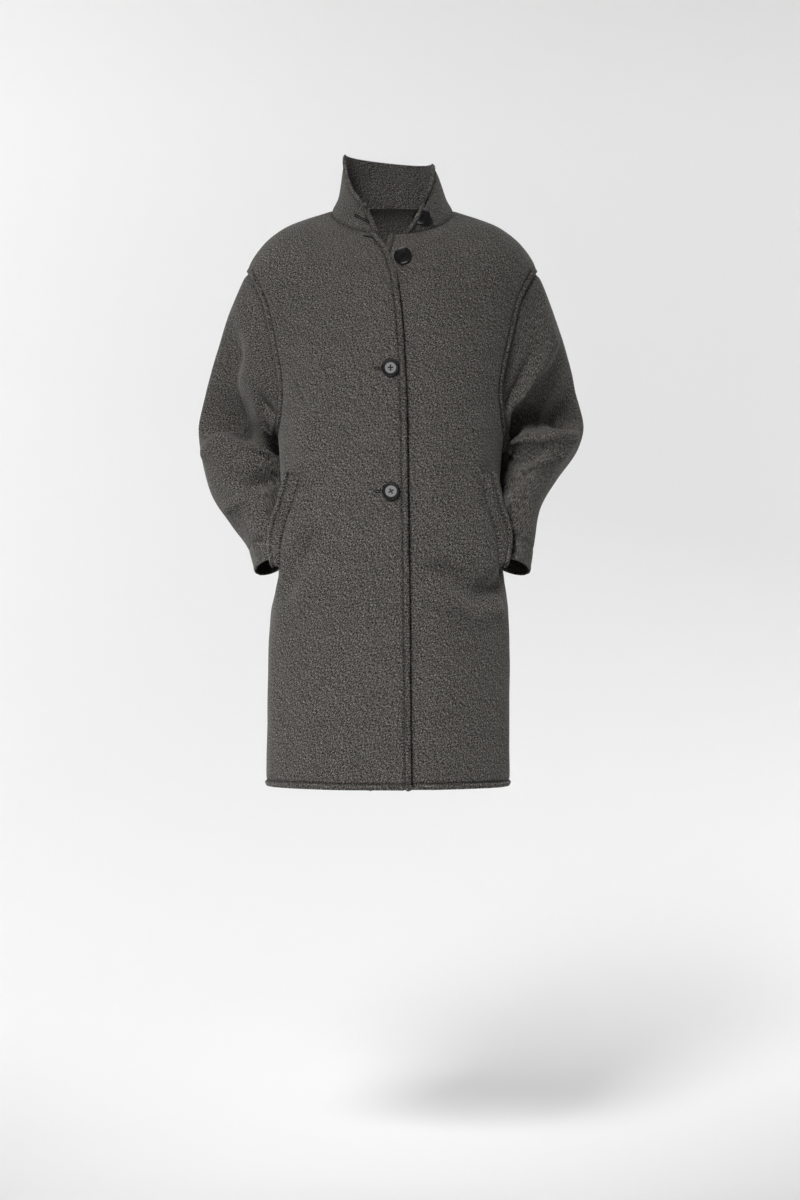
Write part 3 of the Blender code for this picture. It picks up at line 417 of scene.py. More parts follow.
def fold_depth(folds, degrees, along, degree_metres, along_metres):
    """The folds at places given in degrees round and along, which the scales measure.

    Folds add up, and of the lengths that make one bent fold the stronger counts.
    """
    bent = {}
    for name, degrees_from, along_from, degrees_to, along_to, width, depth, *crisp in folds:
        sharpness = crisp[0] if crisp else SOFT_FOLD
        run = np.array((degrees_to - degrees_from, along_to - along_from)) * (degree_metres, along_metres)
        round_way = (np.mod(degrees - degrees_from + 180, 360) - 180) * degree_metres
        place = np.stack(np.broadcast_arrays(round_way, (along - along_from) * along_metres), axis=-1)
        share = np.clip(place @ run / (run @ run), 0, 1)
        away = np.linalg.norm(place - share[..., None] * run, axis=-1)
        length = depth * np.exp(-((away / width) ** sharpness))
        earlier = bent.get(name, np.zeros_like(length))
        bent[name] = np.where(np.abs(length) > np.abs(earlier), length, earlier)
    return sum(bent.values())


def ring_point(table, angle, station):
    """A point of a ring table's surface. The angle is 0 at the front and 90 degrees at the left."""
    row = table.at(station)
    sine, cosine = np.sin(angle), np.cos(angle)
    middle_y = (row["front_y"] + row["back_y"]) / 2
    half_depth = (row["back_y"] - row["front_y"]) / 2
    x = row["half_width"] * sine * (1 + row["fullness"] * cosine**2)
    y = middle_y - half_depth * cosine * (1 + row["fullness"] * sine**2)
    end_z = np.where(cosine > 0, row["front_z"], row["back_z"])
    z = row["side_z"] + (end_z - row["side_z"]) * np.abs(cosine) ** row["dip"]
    return stacked(x, y, z)


def plain_body(angle, station):
    return ring_point(BODY, angle, station)


def slope_normal(surface, first, second):
    along_first = surface(first + SLOPE_STEP, second) - surface(first - SLOPE_STEP, second)
    along_second = surface(first, second + SLOPE_STEP) - surface(first, second - SLOPE_STEP)
    return unit(np.cross(along_first, along_second))


def body_point(angle, station):
    """A point of the coat body's outer face, with its folds."""
    angle, station = np.broadcast_arrays(np.asarray(angle, float), np.asarray(station, float))
    point = plain_body(angle, station)
    outward = slope_normal(plain_body, angle, station)
    depth = fold_depth(BODY_FOLDS, np.degrees(angle), point[..., 2], BODY_DEGREE, 1.0)
    return point + outward * depth[..., None]


def right_front_point(angle, station):
    """The right front's outer face: the body's, standing off where it laps over the left front."""
    point = body_point(angle, station)
    outward = slope_normal(body_point, np.asarray(angle, float), np.asarray(station, float))
    below_neck = smooth_step(0, LAP_FADE, BODY.named["neck"] - np.asarray(station, float))
    lap = LAP * smooth_step(LAP_FROM, LAP_TO, angle) * below_neck
    return point + outward * lap[..., None]


def collar_point(angle, station):
    """A point of the collar's outer face; its top drifts and tilts to the wearer's right."""
    station = np.asarray(station, float)
    point = ring_point(COLLAR, np.asarray(angle, float), station)
    rise = (station / COLLAR.stations[-1]) ** 2
    tilt = -COLLAR_TILT * point[..., 0]
    return point + stacked(COLLAR_DRIFT * rise, 0, tilt * rise)


def armhole_station(turn):
    top, foot = BODY.named["shoulder_point"], BODY.named["underarm"]
    rise = np.sign(np.cos(turn)) * np.abs(np.cos(turn)) ** (2 / ARMHOLE_ROUNDING)
    return (top + foot) / 2 + (top - foot) / 2 * rise


def armhole_angles(turn):
    seam = SHOULDER_SEAM + (SIDE_SEAM - SHOULDER_SEAM) * (1 - np.cos(turn)) / 2
    opening = np.abs(np.sin(turn)) ** (2 / ARMHOLE_ROUNDING)
    return seam - ARMHOLE_FRONT_GAP * opening, seam + ARMHOLE_BACK_GAP * opening


def armhole_edge(turn):
    front, back = armhole_angles(turn)
    return np.where(np.sin(turn) >= 0, front, back), armhole_station(turn)


def angle_at(row, x):
    """The angle on a ring at which the cloth lies a distance x from the centre line."""
    return np.arcsin(x / (row["half_width"] * (1 + row["fullness"])))


def edge_angle(stations, column):
    """The body angle at which a front's own edge lies."""
    row = BODY.at(stations)
    return angle_at(row, EDGES.at(EDGES.station_where("front_z", row["front_z"]))[column])


def front_place(x, z):
    """The body angle and station of a place on a front."""
    station = BODY.station_where("front_z", z)
    return angle_at(BODY.at(station), x), station


class Sleeve:
    """The outer face of one sleeve, made for the left side and mirrored for the right."""

    def __init__(self, side, rows, folds):
        self.side = side
        self.table = SmoothTable(SLEEVE_COLUMNS, rows, ("out_x", "out_z"))
        self.folds = folds

    def section(self, turn, along):
        row = self.table.at(np.asarray(along) * self.table.stations[-1])
        outer = stacked(row["out_x"], row["out_y"], row["out_z"])
        inner = stacked(row["in_x"], row["in_y"], row["in_z"])
        middle = (outer + inner) / 2 + unit(inner - outer) * row["pull"][..., None]
        forwards = stacked(0 * row["lift"], -row["half_depth"], row["lift"])
        across, even = (outer - inner) / 2, (outer + inner - 2 * middle) / 4
        centre = (outer + inner + 2 * middle) / 4
        sine, cosine = np.sin(turn)[..., None], np.cos(turn)[..., None]
        return centre + across * cosine + forwards * sine + even * np.cos(2 * turn)[..., None]

    def plain(self, turn, along):
        turn, along = np.broadcast_arrays(np.asarray(turn, float), np.asarray(along, float))
        edge = body_point(*armhole_edge(turn))
        near = 1 - smooth_step(0, ARMHOLE_BLEND, along)
        return self.section(turn, along) + (edge - self.section(turn, 0 * along)) * near[..., None]

    def folded(self, turn, along):
        point = self.plain(turn, along)
        outward = slope_normal(self.plain, np.asarray(turn, float), np.asarray(along, float))
        depth = fold_depth(self.folds, np.degrees(turn), along, SLEEVE_DEGREE, SLEEVE_RUN)
        fade = smooth_step(0.0, FOLD_FADE, np.asarray(along, float))
        outer_line = np.abs(np.mod(np.degrees(turn) + 180, 360) - 180)
        fade = fade * smooth_step(0.0, OUTER_FADE, outer_line)
        depth = (depth * fade)[..., None]
        return point + outward * depth - stacked(0, 0, FOLD_DROOP) * np.abs(depth)

    def normal(self, turn, along):
        return slope_normal(self.folded, np.asarray(turn, float), np.asarray(along, float))

    def place(self, points):
        return points * np.array([self.side, 1.0, 1.0])


def leaned(points):
    shift = np.zeros_like(points)
    shift[..., 0] = LEAN * points[..., 2]
    return points + shift


def graded(lengths, middle):
    """Distances along each row: close together in an edge's finish and evenly spread between."""
    lengths = np.asarray(lengths, float)[:, None]
    room = np.minimum(1.0, 0.4 * lengths / FINISH_STEPS[-1])
    begin = FINISH_STEPS[None, :] * room
    end = lengths - FINISH_STEPS[None, ::-1] * room
    share = np.linspace(0, 1, middle + 1)[None, 1:-1]
    between = begin[:, -1:] + (end[:, :1] - begin[:, -1:]) * share
    return np.concatenate([begin, between, end], axis=1)


def spread_round(surface, start, end, rows, middle):
    """For each row, the places from start to end at graded distances, and those distances."""
    probe = start[:, None] + (end - start)[:, None] * np.linspace(0, 1, PROBE_STEPS)[None, :]
    at = surface(probe, np.broadcast_to(rows[:, None], probe.shape))
    steps = np.linalg.norm(np.diff(at, axis=1), axis=-1)
    runs = np.concatenate([np.zeros((len(rows), 1)), np.cumsum(steps, axis=1)], axis=1)
    wanted = graded(runs[:, -1], middle)
    places = np.array([np.interp(w, r, p) for w, r, p in zip(wanted, runs, probe)])
    return places, wanted


def laid_out(surface, angles, rows):
    """A panel's grid on its surface: the points, their normals and the row of each."""
    grid = np.broadcast_to(rows[:, None], angles.shape)
    return surface(angles, grid), slope_normal(surface, angles, grid), grid


def cut_lengths(points):
    """Each grid point's place on the flat cut, from the lengths along its row and its column."""
    across = np.cumsum(np.linalg.norm(np.diff(points, axis=1), axis=-1), axis=1)
    down = np.cumsum(np.linalg.norm(np.diff(points, axis=0), axis=-1), axis=0)
    across, down = np.pad(across, ((0, 0), (1, 0))), np.pad(down, ((1, 0), (0, 0)))
    middle = across.shape[1] // 2
    return np.stack([across - across[:, middle : middle + 1], down], axis=-1)


def body_rows():
    """A panel's rows from hem to neck: their stations, the armhole's turn at each, and its own rows."""
    named = BODY.named
    hem = named["hem"] + FINISH_STEPS
    skirt = np.linspace(hem[-1], named["hip"], ROW_COUNTS["skirt"])[1:]
    pocket = np.linspace(named["hip"], named["waist"], ROW_COUNTS["pocket"])[1:]
    waist = np.linspace(named["waist"], named["underarm"], ROW_COUNTS["waist"])[1:-1]
    turns = np.linspace(math.pi, 0, ROW_COUNTS["armhole"])
    neck = named["neck"] - FINISH_STEPS[::-1]
    shoulder = np.linspace(named["shoulder_point"], neck[0], ROW_COUNTS["shoulder"])[1:-1]
    below = len(hem) + len(skirt) + len(pocket) + len(waist)
    stations = np.concatenate([hem, skirt, pocket, waist, armhole_station(turns), shoulder, neck])
    turn = np.concatenate([np.full(below, math.pi), turns, np.zeros(len(shoulder) + len(neck))])
    return stations, turn, slice(below, below + len(turns))


def distance_to(points, line):
    """Each grid point's distance from a line, which is sampled closely for it."""
    runs = np.concatenate([[0], np.cumsum(np.linalg.norm(np.diff(line, axis=0), axis=1))])
    fine = np.linspace(0, runs[-1], int(runs[-1] / LINE_STEP) + 2)
    close = np.stack([np.interp(fine, runs, line[:, k]) for k in range(3)], axis=1)
    tree = KDTree(len(close))
    for i, place in enumerate(close):
        tree.insert(place, i)
    tree.balance()
    flat = points.reshape(-1, 3)
    return np.array([tree.find(p)[2] for p in flat]).reshape(points.shape[:2])


def hump(distance, at, width):
    return np.exp(-(((distance - at) / width) ** 2))


def finish_height(distance, finish):
    bead = finish.bead * hump(distance, finish.bead_at, finish.bead_width)
    groove = finish.groove * hump(distance, finish.groove_at, finish.groove_width)
    return bead - groove - finish.dip * hump(distance, 0, finish.dip_width)


def painted_shade_share(distance, finish):
    """How far a place lies down in a finish's groove or dip, from 0 to 1: the share of painted shade there.
    """
    groove = hump(distance, finish.groove_at, finish.groove_width) * (finish.groove > 0)
    return np.maximum(groove, hump(distance, 0, finish.dip_width) * (finish.dip > 0))


def handle(uv):
    """The slight unevenness of hanging cloth."""
    u, v = uv[..., 0], uv[..., 1]
    full = 2 * math.pi
    slow = np.sin(full * (u / 0.131 + v / 0.470) + 0.7) * np.sin(full * (v / 0.290) + 1.9)
    quick = np.sin(full * (u / 0.071 - v / 0.310) + 2.1) * np.sin(full * (v / 0.118 + u / 0.33))
    return HANDLE_SLOW * slow + HANDLE_QUICK * quick


def deselect():
    if bpy.context.object and bpy.context.object.mode != "OBJECT":
        bpy.ops.object.mode_set(mode="OBJECT")
    bpy.ops.object.select_all(action="DESELECT")


def add_piece(name, mesh, material):
    piece = bpy.data.objects.new(name, mesh)
    mesh.materials.clear()
    mesh.materials.append(material)
    bpy.context.scene.collection.objects.link(piece)
    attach(piece, "root")
    return piece


class ClothPiece:
    """A panel of cloth with its thickness, rounded edges and finishes, and its outer face to sew on."""

    def __init__(self, name, points, normals, uv, finishes, free_sides, thickness=CLOTH, flip=False):
        distances = [(distance_to(points, line), finish) for line, finish in finishes]
        nearest = np.min([distance for distance, _ in distances], axis=0)
        height = sum(finish_height(distance, finish) for distance, finish in distances)
        height = height + handle(uv) * smooth_step(0, HANDLE_FADE, nearest)
        # Painted shade: the cloth's colour is darkened where it lies down in stitched grooves and seam
        # dips.
        painted_shade = np.max([painted_shade_share(distance, finish) for distance, finish in distances], axis=0)
        outer = leaned(points + normals * height[..., None])
        inner = leaned(points - normals * thickness)
        rows, columns = outer.shape[:2]
        count = rows * columns
        index = np.arange(count).reshape(rows, columns)
        quads = np.stack(
            [index[:-1, :-1], index[:-1, 1:], index[1:, 1:], index[1:, :-1]], axis=-1
        ).reshape(-1, 4)
        border = np.concatenate([index[0, :-1], index[:-1, -1], index[-1, :0:-1], index[:0:-1, 0]])

        sides = {
            "foot": (np.s_[0, :], np.s_[1, :]),
            "head": (np.s_[-1, :], np.s_[-2, :]),
            "start": (np.s_[:, 0], np.s_[:, 1]),
            "end": (np.s_[:, -1], np.s_[:, -2]),
        }
        outwards = np.zeros_like(outer)
        bulge = np.ones((rows, columns))
        for side, (edge, inside) in sides.items():
            away = outer[edge] - outer[inside]
            away = away - normals[edge] * np.sum(away * normals[edge], axis=-1, keepdims=True)
            outwards[edge] += unit(away)
            if side not in free_sides:
                bulge[edge] = SEWN_BULGE
        outwards = unit(outwards).reshape(-1, 3)[border]
        bulge = bulge.reshape(-1)[border]
        top, bottom = outer.reshape(-1, 3)[border], inner.reshape(-1, 3)[border]
        middle, half = (top + bottom) / 2, (top - bottom) / 2
        reach = np.linalg.norm(half, axis=1) * bulge
        rims, rings = [], [border]
        for step in range(1, RIM_STEPS):
            angle = math.pi * step / RIM_STEPS
            rims.append(middle + half * math.cos(angle) + outwards * (reach * math.sin(angle))[:, None])
            rings.append(2 * count + (step - 1) * len(border) + np.arange(len(border)))
        rings.append(border + count)
        strips = [
            np.stack([a, b, np.roll(b, -1), np.roll(a, -1)], axis=-1) for a, b in zip(rings, rings[1:])
        ]
        faces = np.concatenate([quads, quads[:, ::-1] + count, *strips])
        if flip:
            faces = faces[:, ::-1]
        vertices = np.concatenate([outer.reshape(-1, 3), inner.reshape(-1, 3), *rims])
        flat_uv = uv.reshape(-1, 2)
        vertex_uv = np.concatenate([flat_uv, flat_uv] + [flat_uv[border]] * (RIM_STEPS - 1))

        mesh = bpy.data.meshes.new(f"wool_{name}")
        mesh.from_pydata(vertices.tolist(), [], faces.tolist())
        layer = mesh.uv_layers.new(name="cut")
        corners = np.empty(len(mesh.loops), dtype=np.int32)
        mesh.loops.foreach_get("vertex_index", corners)
        layer.data.foreach_set("uv", vertex_uv[corners].astype(np.float32).ravel())
        # The painted shade is handed to the wool material as a point attribute.
        shade = mesh.attributes.new("painted_shade", "FLOAT", "POINT")
        shade.data.foreach_set("value", np.pad(painted_shade.ravel(), (0, len(vertices) - count)).astype(np.float32))
        mesh.shade_smooth()
        mesh.set_sharp_from_angle(angle=SHARP_ANGLE)
        piece = add_piece(mesh.name, mesh, WOOL)
        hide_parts(name)
        width, length, area = PANEL_CUTS[name]
        seen = quads[:, ::-1] if flip else quads
        self.tree = BVHTree.FromPolygons(outer.reshape(-1, 3).tolist(), seen.tolist())


def inset_line(line, normals, inside, distance):
    """A line moved into its panel by a distance along the cloth."""
    run = unit(np.gradient(line, axis=0))
    inward = unit(np.cross(normals, run))
    inward = inward * np.sign(np.sum(inward * (inside - line), axis=-1, keepdims=True))
    return line + inward * distance


class Needlework:
    """Stitches gathered for one object, each a short thread that rises out of the cloth and dips back."""

    def __init__(self):
        self.vertices = []
        self.faces = []

    def stitch(self, start, end, normal, radius=STITCH_RADIUS):
        run = end - start
        side = run.cross(normal).normalized()
        base = len(self.vertices)
        for step, lift in enumerate(STITCH_LIFT):
            centre = start + run * (step / (len(STITCH_LIFT) - 1)) + normal * lift
            for k in range(STITCH_SIDES):
                angle = 2 * math.pi * k / STITCH_SIDES
                self.vertices.append(centre + (side * math.cos(angle) + normal * math.sin(angle)) * radius)
        for step in range(len(STITCH_LIFT) - 1):
            for k in range(STITCH_SIDES):
                a = base + step * STITCH_SIDES + k
                b = base + step * STITCH_SIDES + (k + 1) % STITCH_SIDES
                self.faces.append((a, a + STITCH_SIDES, b + STITCH_SIDES, b))
        last = base + (len(STITCH_LIFT) - 1) * STITCH_SIDES
        self.faces.append(tuple(range(base, base + STITCH_SIDES)))
        self.faces.append(tuple(range(last + STITCH_SIDES - 1, last - 1, -1)))

    def sew(self, cloth, line):
        """A row of stitches on a cloth piece along a line near its face."""
        line = leaned(line)
        runs = np.concatenate([[0], np.cumsum(np.linalg.norm(np.diff(line, axis=0), axis=1))])
        for start in np.arange(0, runs[-1] - STITCH_LENGTH, STITCH_PITCH):
            ends = []
            for run in (start, start + STITCH_LENGTH):
                near = Vector([np.interp(run, runs, line[:, k]) for k in range(3)])
                place, normal, _, _ = cloth.tree.find_nearest(near)
                ends.append(place)
            self.stitch(ends[0], ends[1], normal)

    def follow(self, cloth, points, normals, edge, inside, finish):
        """A row of stitches down the groove of an edge's finish; inside picks points further in."""
        self.sew(cloth, inset_line(points[edge], normals[edge], points[inside], finish.groove_at))

    def buttonhole(self, cloth, centre, along):
        """A worked buttonhole: close stitches along both lips of a slit and round its ends."""
        place, normal, _, _ = cloth.tree.find_nearest(centre)
        along = (along - normal * along.dot(normal)).normalized()
        across = normal.cross(along).normalized()
        spots = []
        half = BUTTONHOLE_LENGTH / 2
        for run in np.arange(-half, half + BUTTONHOLE_PITCH / 2, BUTTONHOLE_PITCH):
            spots += [(place + along * run, across), (place + along * run, -across)]
        for way in (-1, 1):
            for k in range(1, BUTTONHOLE_END_STEPS):
                angle = math.pi * k / BUTTONHOLE_END_STEPS
                out = along * (way * math.sin(angle)) + across * math.cos(angle)
                spots.append((place + along * (way * half), out))
        for spot, out in spots:
            start, lift, _, _ = cloth.tree.find_nearest(spot + out * BUTTONHOLE_SLIT)
            end = cloth.tree.find_nearest(spot + out * BUTTONHOLE_REACH)[0]
            self.stitch(start, end, lift, BUTTONHOLE_STITCH_RADIUS)

    def finish(self, name, material):
        mesh = bpy.data.meshes.new(name)
        mesh.from_pydata([tuple(v) for v in self.vertices], [], self.faces)
        mesh.shade_smooth()
        return add_piece(name, mesh, material)


def make_front(name, side, surface, edge_column, needle):
    """A front: its own edge and hem turned and stitched, its armhole lapped over the sleeve."""
    stations, turns, armhole = body_rows()
    start = edge_angle(stations, edge_column)
    armhole_edge_angles = side * armhole_angles(turns)[0]
    angles, runs = spread_round(plain_body, start, armhole_edge_angles, stations, PANEL_STEPS["front"])
    points, normals, grid = laid_out(surface, angles, stations)
    below_neck = smooth_step(0, EDGE_FADE, BODY.named["neck"] - stations)[:, None]
    half_width = BODY.at(stations)["half_width"]
    if side < 0:
        change = EDGE_LIFT * hump(runs, 0, EDGE_LIFT_WIDTH)
    else:
        away = (angles - edge_angle(stations, "right_x")[:, None]) * half_width[:, None]
        change = -OVERLAP_FALL * hump(away, OVERLAP_FALL_AT, OVERLAP_FALL_WIDTH)
    points = points + normals * (change * below_neck)[..., None]
    uv = np.stack([(half_width * start)[:, None] + side * runs, grid], axis=-1)
    finishes = [
        (points[:, 0], TURNED_EDGE),
        (points[0], TURNED_EDGE),
        (points[-1], PLAIN_SEAM),
        (points[: armhole.start + 1, -1], PLAIN_SEAM),
        (points[armhole, -1], LAPPED_SEAM),
        (points[armhole.stop - 1 :, -1], PLAIN_SEAM),
    ]
    cloth = ClothPiece(name, points, normals, uv, finishes, ("start", "foot"), flip=side < 0)
    needle.follow(cloth, points, normals, np.s_[:, 0], np.s_[:, 3], TURNED_EDGE)
    needle.follow(cloth, points, normals, 0, 3, TURNED_EDGE)
    needle.follow(cloth, points, normals, np.s_[armhole, -1], np.s_[armhole, -4], LAPPED_SEAM)
    return cloth


def make_back(needle):
    """The back: its hem turned and stitched, its two armholes lapped over the sleeves."""
    stations, turns, armhole = body_rows()
    start = armhole_angles(turns)[1]
    angles, runs = spread_round(plain_body, start, 2 * math.pi - start, stations, PANEL_STEPS["back"])
    points, normals, grid = laid_out(body_point, angles, stations)
    uv = np.stack([runs - runs[:, -1:] / 2, grid], axis=-1)
    finishes = [(points[0], TURNED_EDGE), (points[-1], PLAIN_SEAM)]
    for column in (0, -1):
        finishes += [
            (points[: armhole.start + 1, column], PLAIN_SEAM),
            (points[armhole, column], LAPPED_SEAM),
            (points[armhole.stop - 1 :, column], PLAIN_SEAM),
        ]
    cloth = ClothPiece("back", points, normals, uv, finishes, ("foot",))
    needle.follow(cloth, points, normals, 0, 3, TURNED_EDGE)
    for column, inner in ((0, 3), (-1, -4)):
        needle.follow(cloth, points, normals, np.s_[armhole, column], np.s_[armhole, inner], LAPPED_SEAM)


def make_collar(needle):
    """One band from the left end round the back to the right end, its free edges turned."""
    heights = graded([COLLAR.stations[-1]], PANEL_STEPS["collar_height"])[0]
    row = COLLAR.at(heights)
    ends = ENDS.at(ENDS.station_where("front_z", row["front_z"]))
    left_end = angle_at(row, ends["left_x"])
    right_end = 2 * math.pi + angle_at(row, ends["right_x"])
    angles, runs = spread_round(collar_point, left_end, right_end, heights, PANEL_STEPS["collar"])
    points, normals, grid = laid_out(collar_point, angles, heights)
    uv = np.stack([runs - runs[:, -1:] / 2, grid], axis=-1)
    free = (points[:, 0], points[:, -1], points[-1])
    finishes = [(line, TURNED_EDGE) for line in free] + [(points[0], PLAIN_SEAM)]
    cloth = ClothPiece("collar", points, normals, uv, finishes, ("start", "end", "head"))
    for edge, inside in ((np.s_[:, 0], np.s_[:, 3]), (np.s_[:, -1], np.s_[:, -4]), (-1, -4)):
        needle.follow(cloth, points, normals, edge, inside, TURNED_EDGE)
    return cloth


def make_sleeve(sleeve, name, needle):
    """A sleeve's upper and under pieces, the cuff turned in and stitched down."""
    length = sleeve.table.stations[-1]
    along = graded([length], PANEL_STEPS["sleeve_length"])[0] / length
    seams = (UPPER_SLEEVE_FROM, UPPER_SLEEVE_TO, UPPER_SLEEVE_FROM + 360)
    for piece, first, last in zip(("upper", "under"), seams, seams[1:]):
        start = np.full(len(along), math.radians(first))
        end = np.full(len(along), math.radians(last))
        turn, _ = spread_round(sleeve.plain, start, end, along, PANEL_STEPS[f"sleeve_{piece}"])
        grid = np.broadcast_to(along[:, None], turn.shape)
        points = sleeve.place(sleeve.folded(turn, grid))
        normals = sleeve.place(sleeve.normal(turn, grid))
        uv = cut_lengths(points) * (-sleeve.side, -1)
        finishes = [
            (points[0], COVERED_SEAM),
            (points[:, 0], PLAIN_SEAM),
            (points[:, -1], PLAIN_SEAM),
            (points[-1], CUFF_TURN),
        ]
        cloth = ClothPiece(
            f"{name}_{piece}", points, normals, uv, finishes, ("head",), flip=sleeve.side < 0
        )
        needle.follow(cloth, points, normals, -1, -4, CUFF_TURN)


def make_welt(name, side, surface, needle):
    """A pocket welt: the front's points along the seam line, moved out and carried sideways."""
    long_runs = graded([WELT.stations[-1]], PANEL_STEPS["welt_length"])[0]
    row = WELT.at(long_runs)
    station = BODY.station_where("front_z", row["z"])
    angle = side * np.radians(row["angle"])
    seam = surface(angle, station)
    outward = slope_normal(surface, angle, station)
    sideways = unit(surface(angle + side * SLOPE_STEP, station) - seam)
    across = sideways * math.cos(WELT_SWING) + outward * math.sin(WELT_SWING)
    facing = outward * math.cos(WELT_SWING) - sideways * math.sin(WELT_SWING)
    runs = graded(row["reach"], PANEL_STEPS["welt"])
    share = runs / row["reach"][:, None]
    seat = seam + outward * WELT_SEAT + facing * WELT_CLOTH
    crown = WELT_CROWN * np.sin(math.pi * share)
    points = seat[:, None] + across[:, None] * runs[..., None] + facing[:, None] * crown[..., None]
    normals = np.broadcast_to(facing[:, None], points.shape)
    uv = np.stack([side * runs, np.broadcast_to(long_runs[:, None], runs.shape)], axis=-1)
    finishes = [(points[:, -1], TURNED_EDGE), (points[0], PLAIN_SEAM), (points[-1], PLAIN_SEAM)]
    sides = ("start", "end", "foot", "head")
    cloth = ClothPiece(name, points, normals, uv, finishes, sides, WELT_CLOTH, flip=side < 0)
    for line, inner in ((points[0], points[3]), (points[-1], points[-4])):
        needle.sew(cloth, inset_line(line, np.broadcast_to(facing[0], line.shape), inner, WELT_STITCH_AT))


def feed(tree, made, inputs):
    """Gives a node's inputs their constants, or links them to the outputs that make their values."""
    for name, value in inputs.items():
        if isinstance(value, bpy.types.NodeSocket):
            tree.links.new(value, made.inputs[name])
        else:
            made.inputs[name].default_value = value


def node(tree, kind, inputs, **settings):
    made = tree.nodes.new(f"ShaderNode{kind}")
    for name, value in settings.items():
        setattr(made, name, value)
    feed(tree, made, inputs)
    return made


def reckon(tree, operation, *values):
    return node(tree, "Math", dict(enumerate(values)), operation=operation).outputs[0]


def noise(tree, place, turn, size, detail):
    """Noise on the cloth's own cut, stretched along a direction: size is its grain along and across."""
    grain = {"Vector": place, "Rotation": (0, 0, math.radians(turn)), "Scale": (*size, 1)}
    turned = node(tree, "Mapping", grain, vector_type="TEXTURE").outputs["Vector"]
    texture = {"Vector": turned, "Scale": 1.0, "Detail": detail}
    return node(tree, "TexNoise", texture, noise_dimensions="2D").outputs["Fac"]


def melange_group():
    """Felted wool spun from light and dark fibres: flecks, a slanting nap, pale hairs and soft clouds, with
    painted shade in its grooves and dips.
    """
    group = bpy.data.node_groups.new("melange_wool", "ShaderNodeTree")
    for way, name, kind in (
        ("INPUT", "Cut", "Vector"), ("INPUT", "Colour", "Color"), ("INPUT", "Contrast", "Float"),
        ("INPUT", "Painted Shade", "Float"), ("OUTPUT", "Colour", "Color"), ("OUTPUT", "Roughness", "Float"),
        ("OUTPUT", "Nap", "Float"),
    ):
        group.interface.new_socket(name=name, in_out=way, socket_type=f"NodeSocket{kind}")
    given = group.nodes.new("NodeGroupInput").outputs
    result = group.nodes.new("NodeGroupOutput")
    nap, fleck, hair, cloud, tone = [noise(group, given["Cut"], *grain) for grain in WOOL_GRAINS]

    total = reckon(group, "MULTIPLY", reckon(group, "SUBTRACT", nap, 0.5), 2.0)
    total = reckon(group, "MULTIPLY_ADD", reckon(group, "SUBTRACT", fleck, 0.5), 1.9, total)
    pale_hairs = {"Value": hair, "From Min": 0.60, "From Max": 0.74}
    pale = node(group, "MapRange", pale_hairs, interpolation_type="SMOOTHSTEP").outputs["Result"]
    total = reckon(group, "MULTIPLY_ADD", pale, 0.9, total)
    total = reckon(group, "MULTIPLY_ADD", reckon(group, "SUBTRACT", cloud, 0.5), 0.10, total)
    bright = reckon(group, "MULTIPLY_ADD", total, given["Contrast"], 0.95)
    bright = reckon(group, "MAXIMUM", bright, 0.25)
    # Painted shade: the colour is darkened by up to 45% down in grooves and seam dips.
    bright = reckon(group, "MULTIPLY", bright, reckon(group, "MULTIPLY_ADD", given["Painted Shade"], -0.45, 1.0))

    warm_to_cool = {0: tone, 6: (1.05, 1.00, 0.94, 1), 7: (0.97, 1.00, 1.01, 1)}
    tint = node(group, "Mix", warm_to_cool, data_type="RGBA").outputs[2]
    tinted = node(
        group, "Mix", {0: 1.0, 6: given["Colour"], 7: tint}, data_type="RGBA", blend_type="MULTIPLY"
    ).outputs[2]
    lit = node(group, "VectorMath", {0: tinted, "Scale": bright}, operation="SCALE").outputs["Vector"]
    height = reckon(group, "MULTIPLY_ADD", fleck, 0.5, reckon(group, "MULTIPLY", nap, 0.9))
    feed(group, result, {
        "Colour": lit,
        "Roughness": reckon(group, "MULTIPLY_ADD", fleck, 0.16, 0.82),
        "Nap": reckon(group, "MULTIPLY_ADD", pale, 0.35, height),
    })
    return group


def new_material(name):
    material = bpy.data.materials.new(name)
    material.use_nodes = True
    tree = material.node_tree
    return material, tree, tree.nodes["Principled BSDF"]


def ramp(tree, factor, dark, light, dark_at=0.0, light_at=1.0):
    made = node(tree, "ValToRGB", {"Fac": factor})
    for end, colour, at in zip(made.color_ramp.elements, (dark, light), (dark_at, light_at)):
        end.color, end.position = colour, at
    return made.outputs["Color"]


def cloth_material(name, colour, contrast, bump):
    """Matte napped wool, with painted shade darkening it down in its seams and stitched grooves."""
    material, tree, shader = new_material(name)
    wool = node(tree, "Group", {
        "Cut": node(tree, "UVMap", {}, uv_map="cut").outputs["UV"],
        "Colour": colour,
        "Contrast": contrast,
        # painted shade in grooves and seam dips
        "Painted Shade": node(tree, "Attribute", {}, attribute_name="painted_shade").outputs["Fac"],
    }, node_tree=MELANGE).outputs
    relief = node(tree, "Bump", {"Strength": bump, "Distance": NAP_HEIGHT, "Height": wool["Nap"]})
    feed(tree, shader, {
        "Base Color": wool["Colour"],
        "Roughness": wool["Roughness"],
        "Normal": relief.outputs["Normal"],
        "Specular IOR Level": 0.2,
        "Sheen Weight": 0.12,
        "Sheen Roughness": 0.5,
        "Sheen Tint": (0.85, 0.83, 0.80, 1),
    })
    return material


def thread_material(name, dark, light):
    """Sewing thread with a fine twist."""
    material, tree, shader = new_material(name)
    place = node(tree, "TexCoord", {}).outputs["Object"]
    twist = node(tree, "TexNoise", {"Vector": place, "Scale": 2600}).outputs["Fac"]
    feed(tree, shader, {
        "Base Color": ramp(tree, twist, dark, light), "Roughness": 0.75, "Specular IOR Level": 0.1
    })
    return material


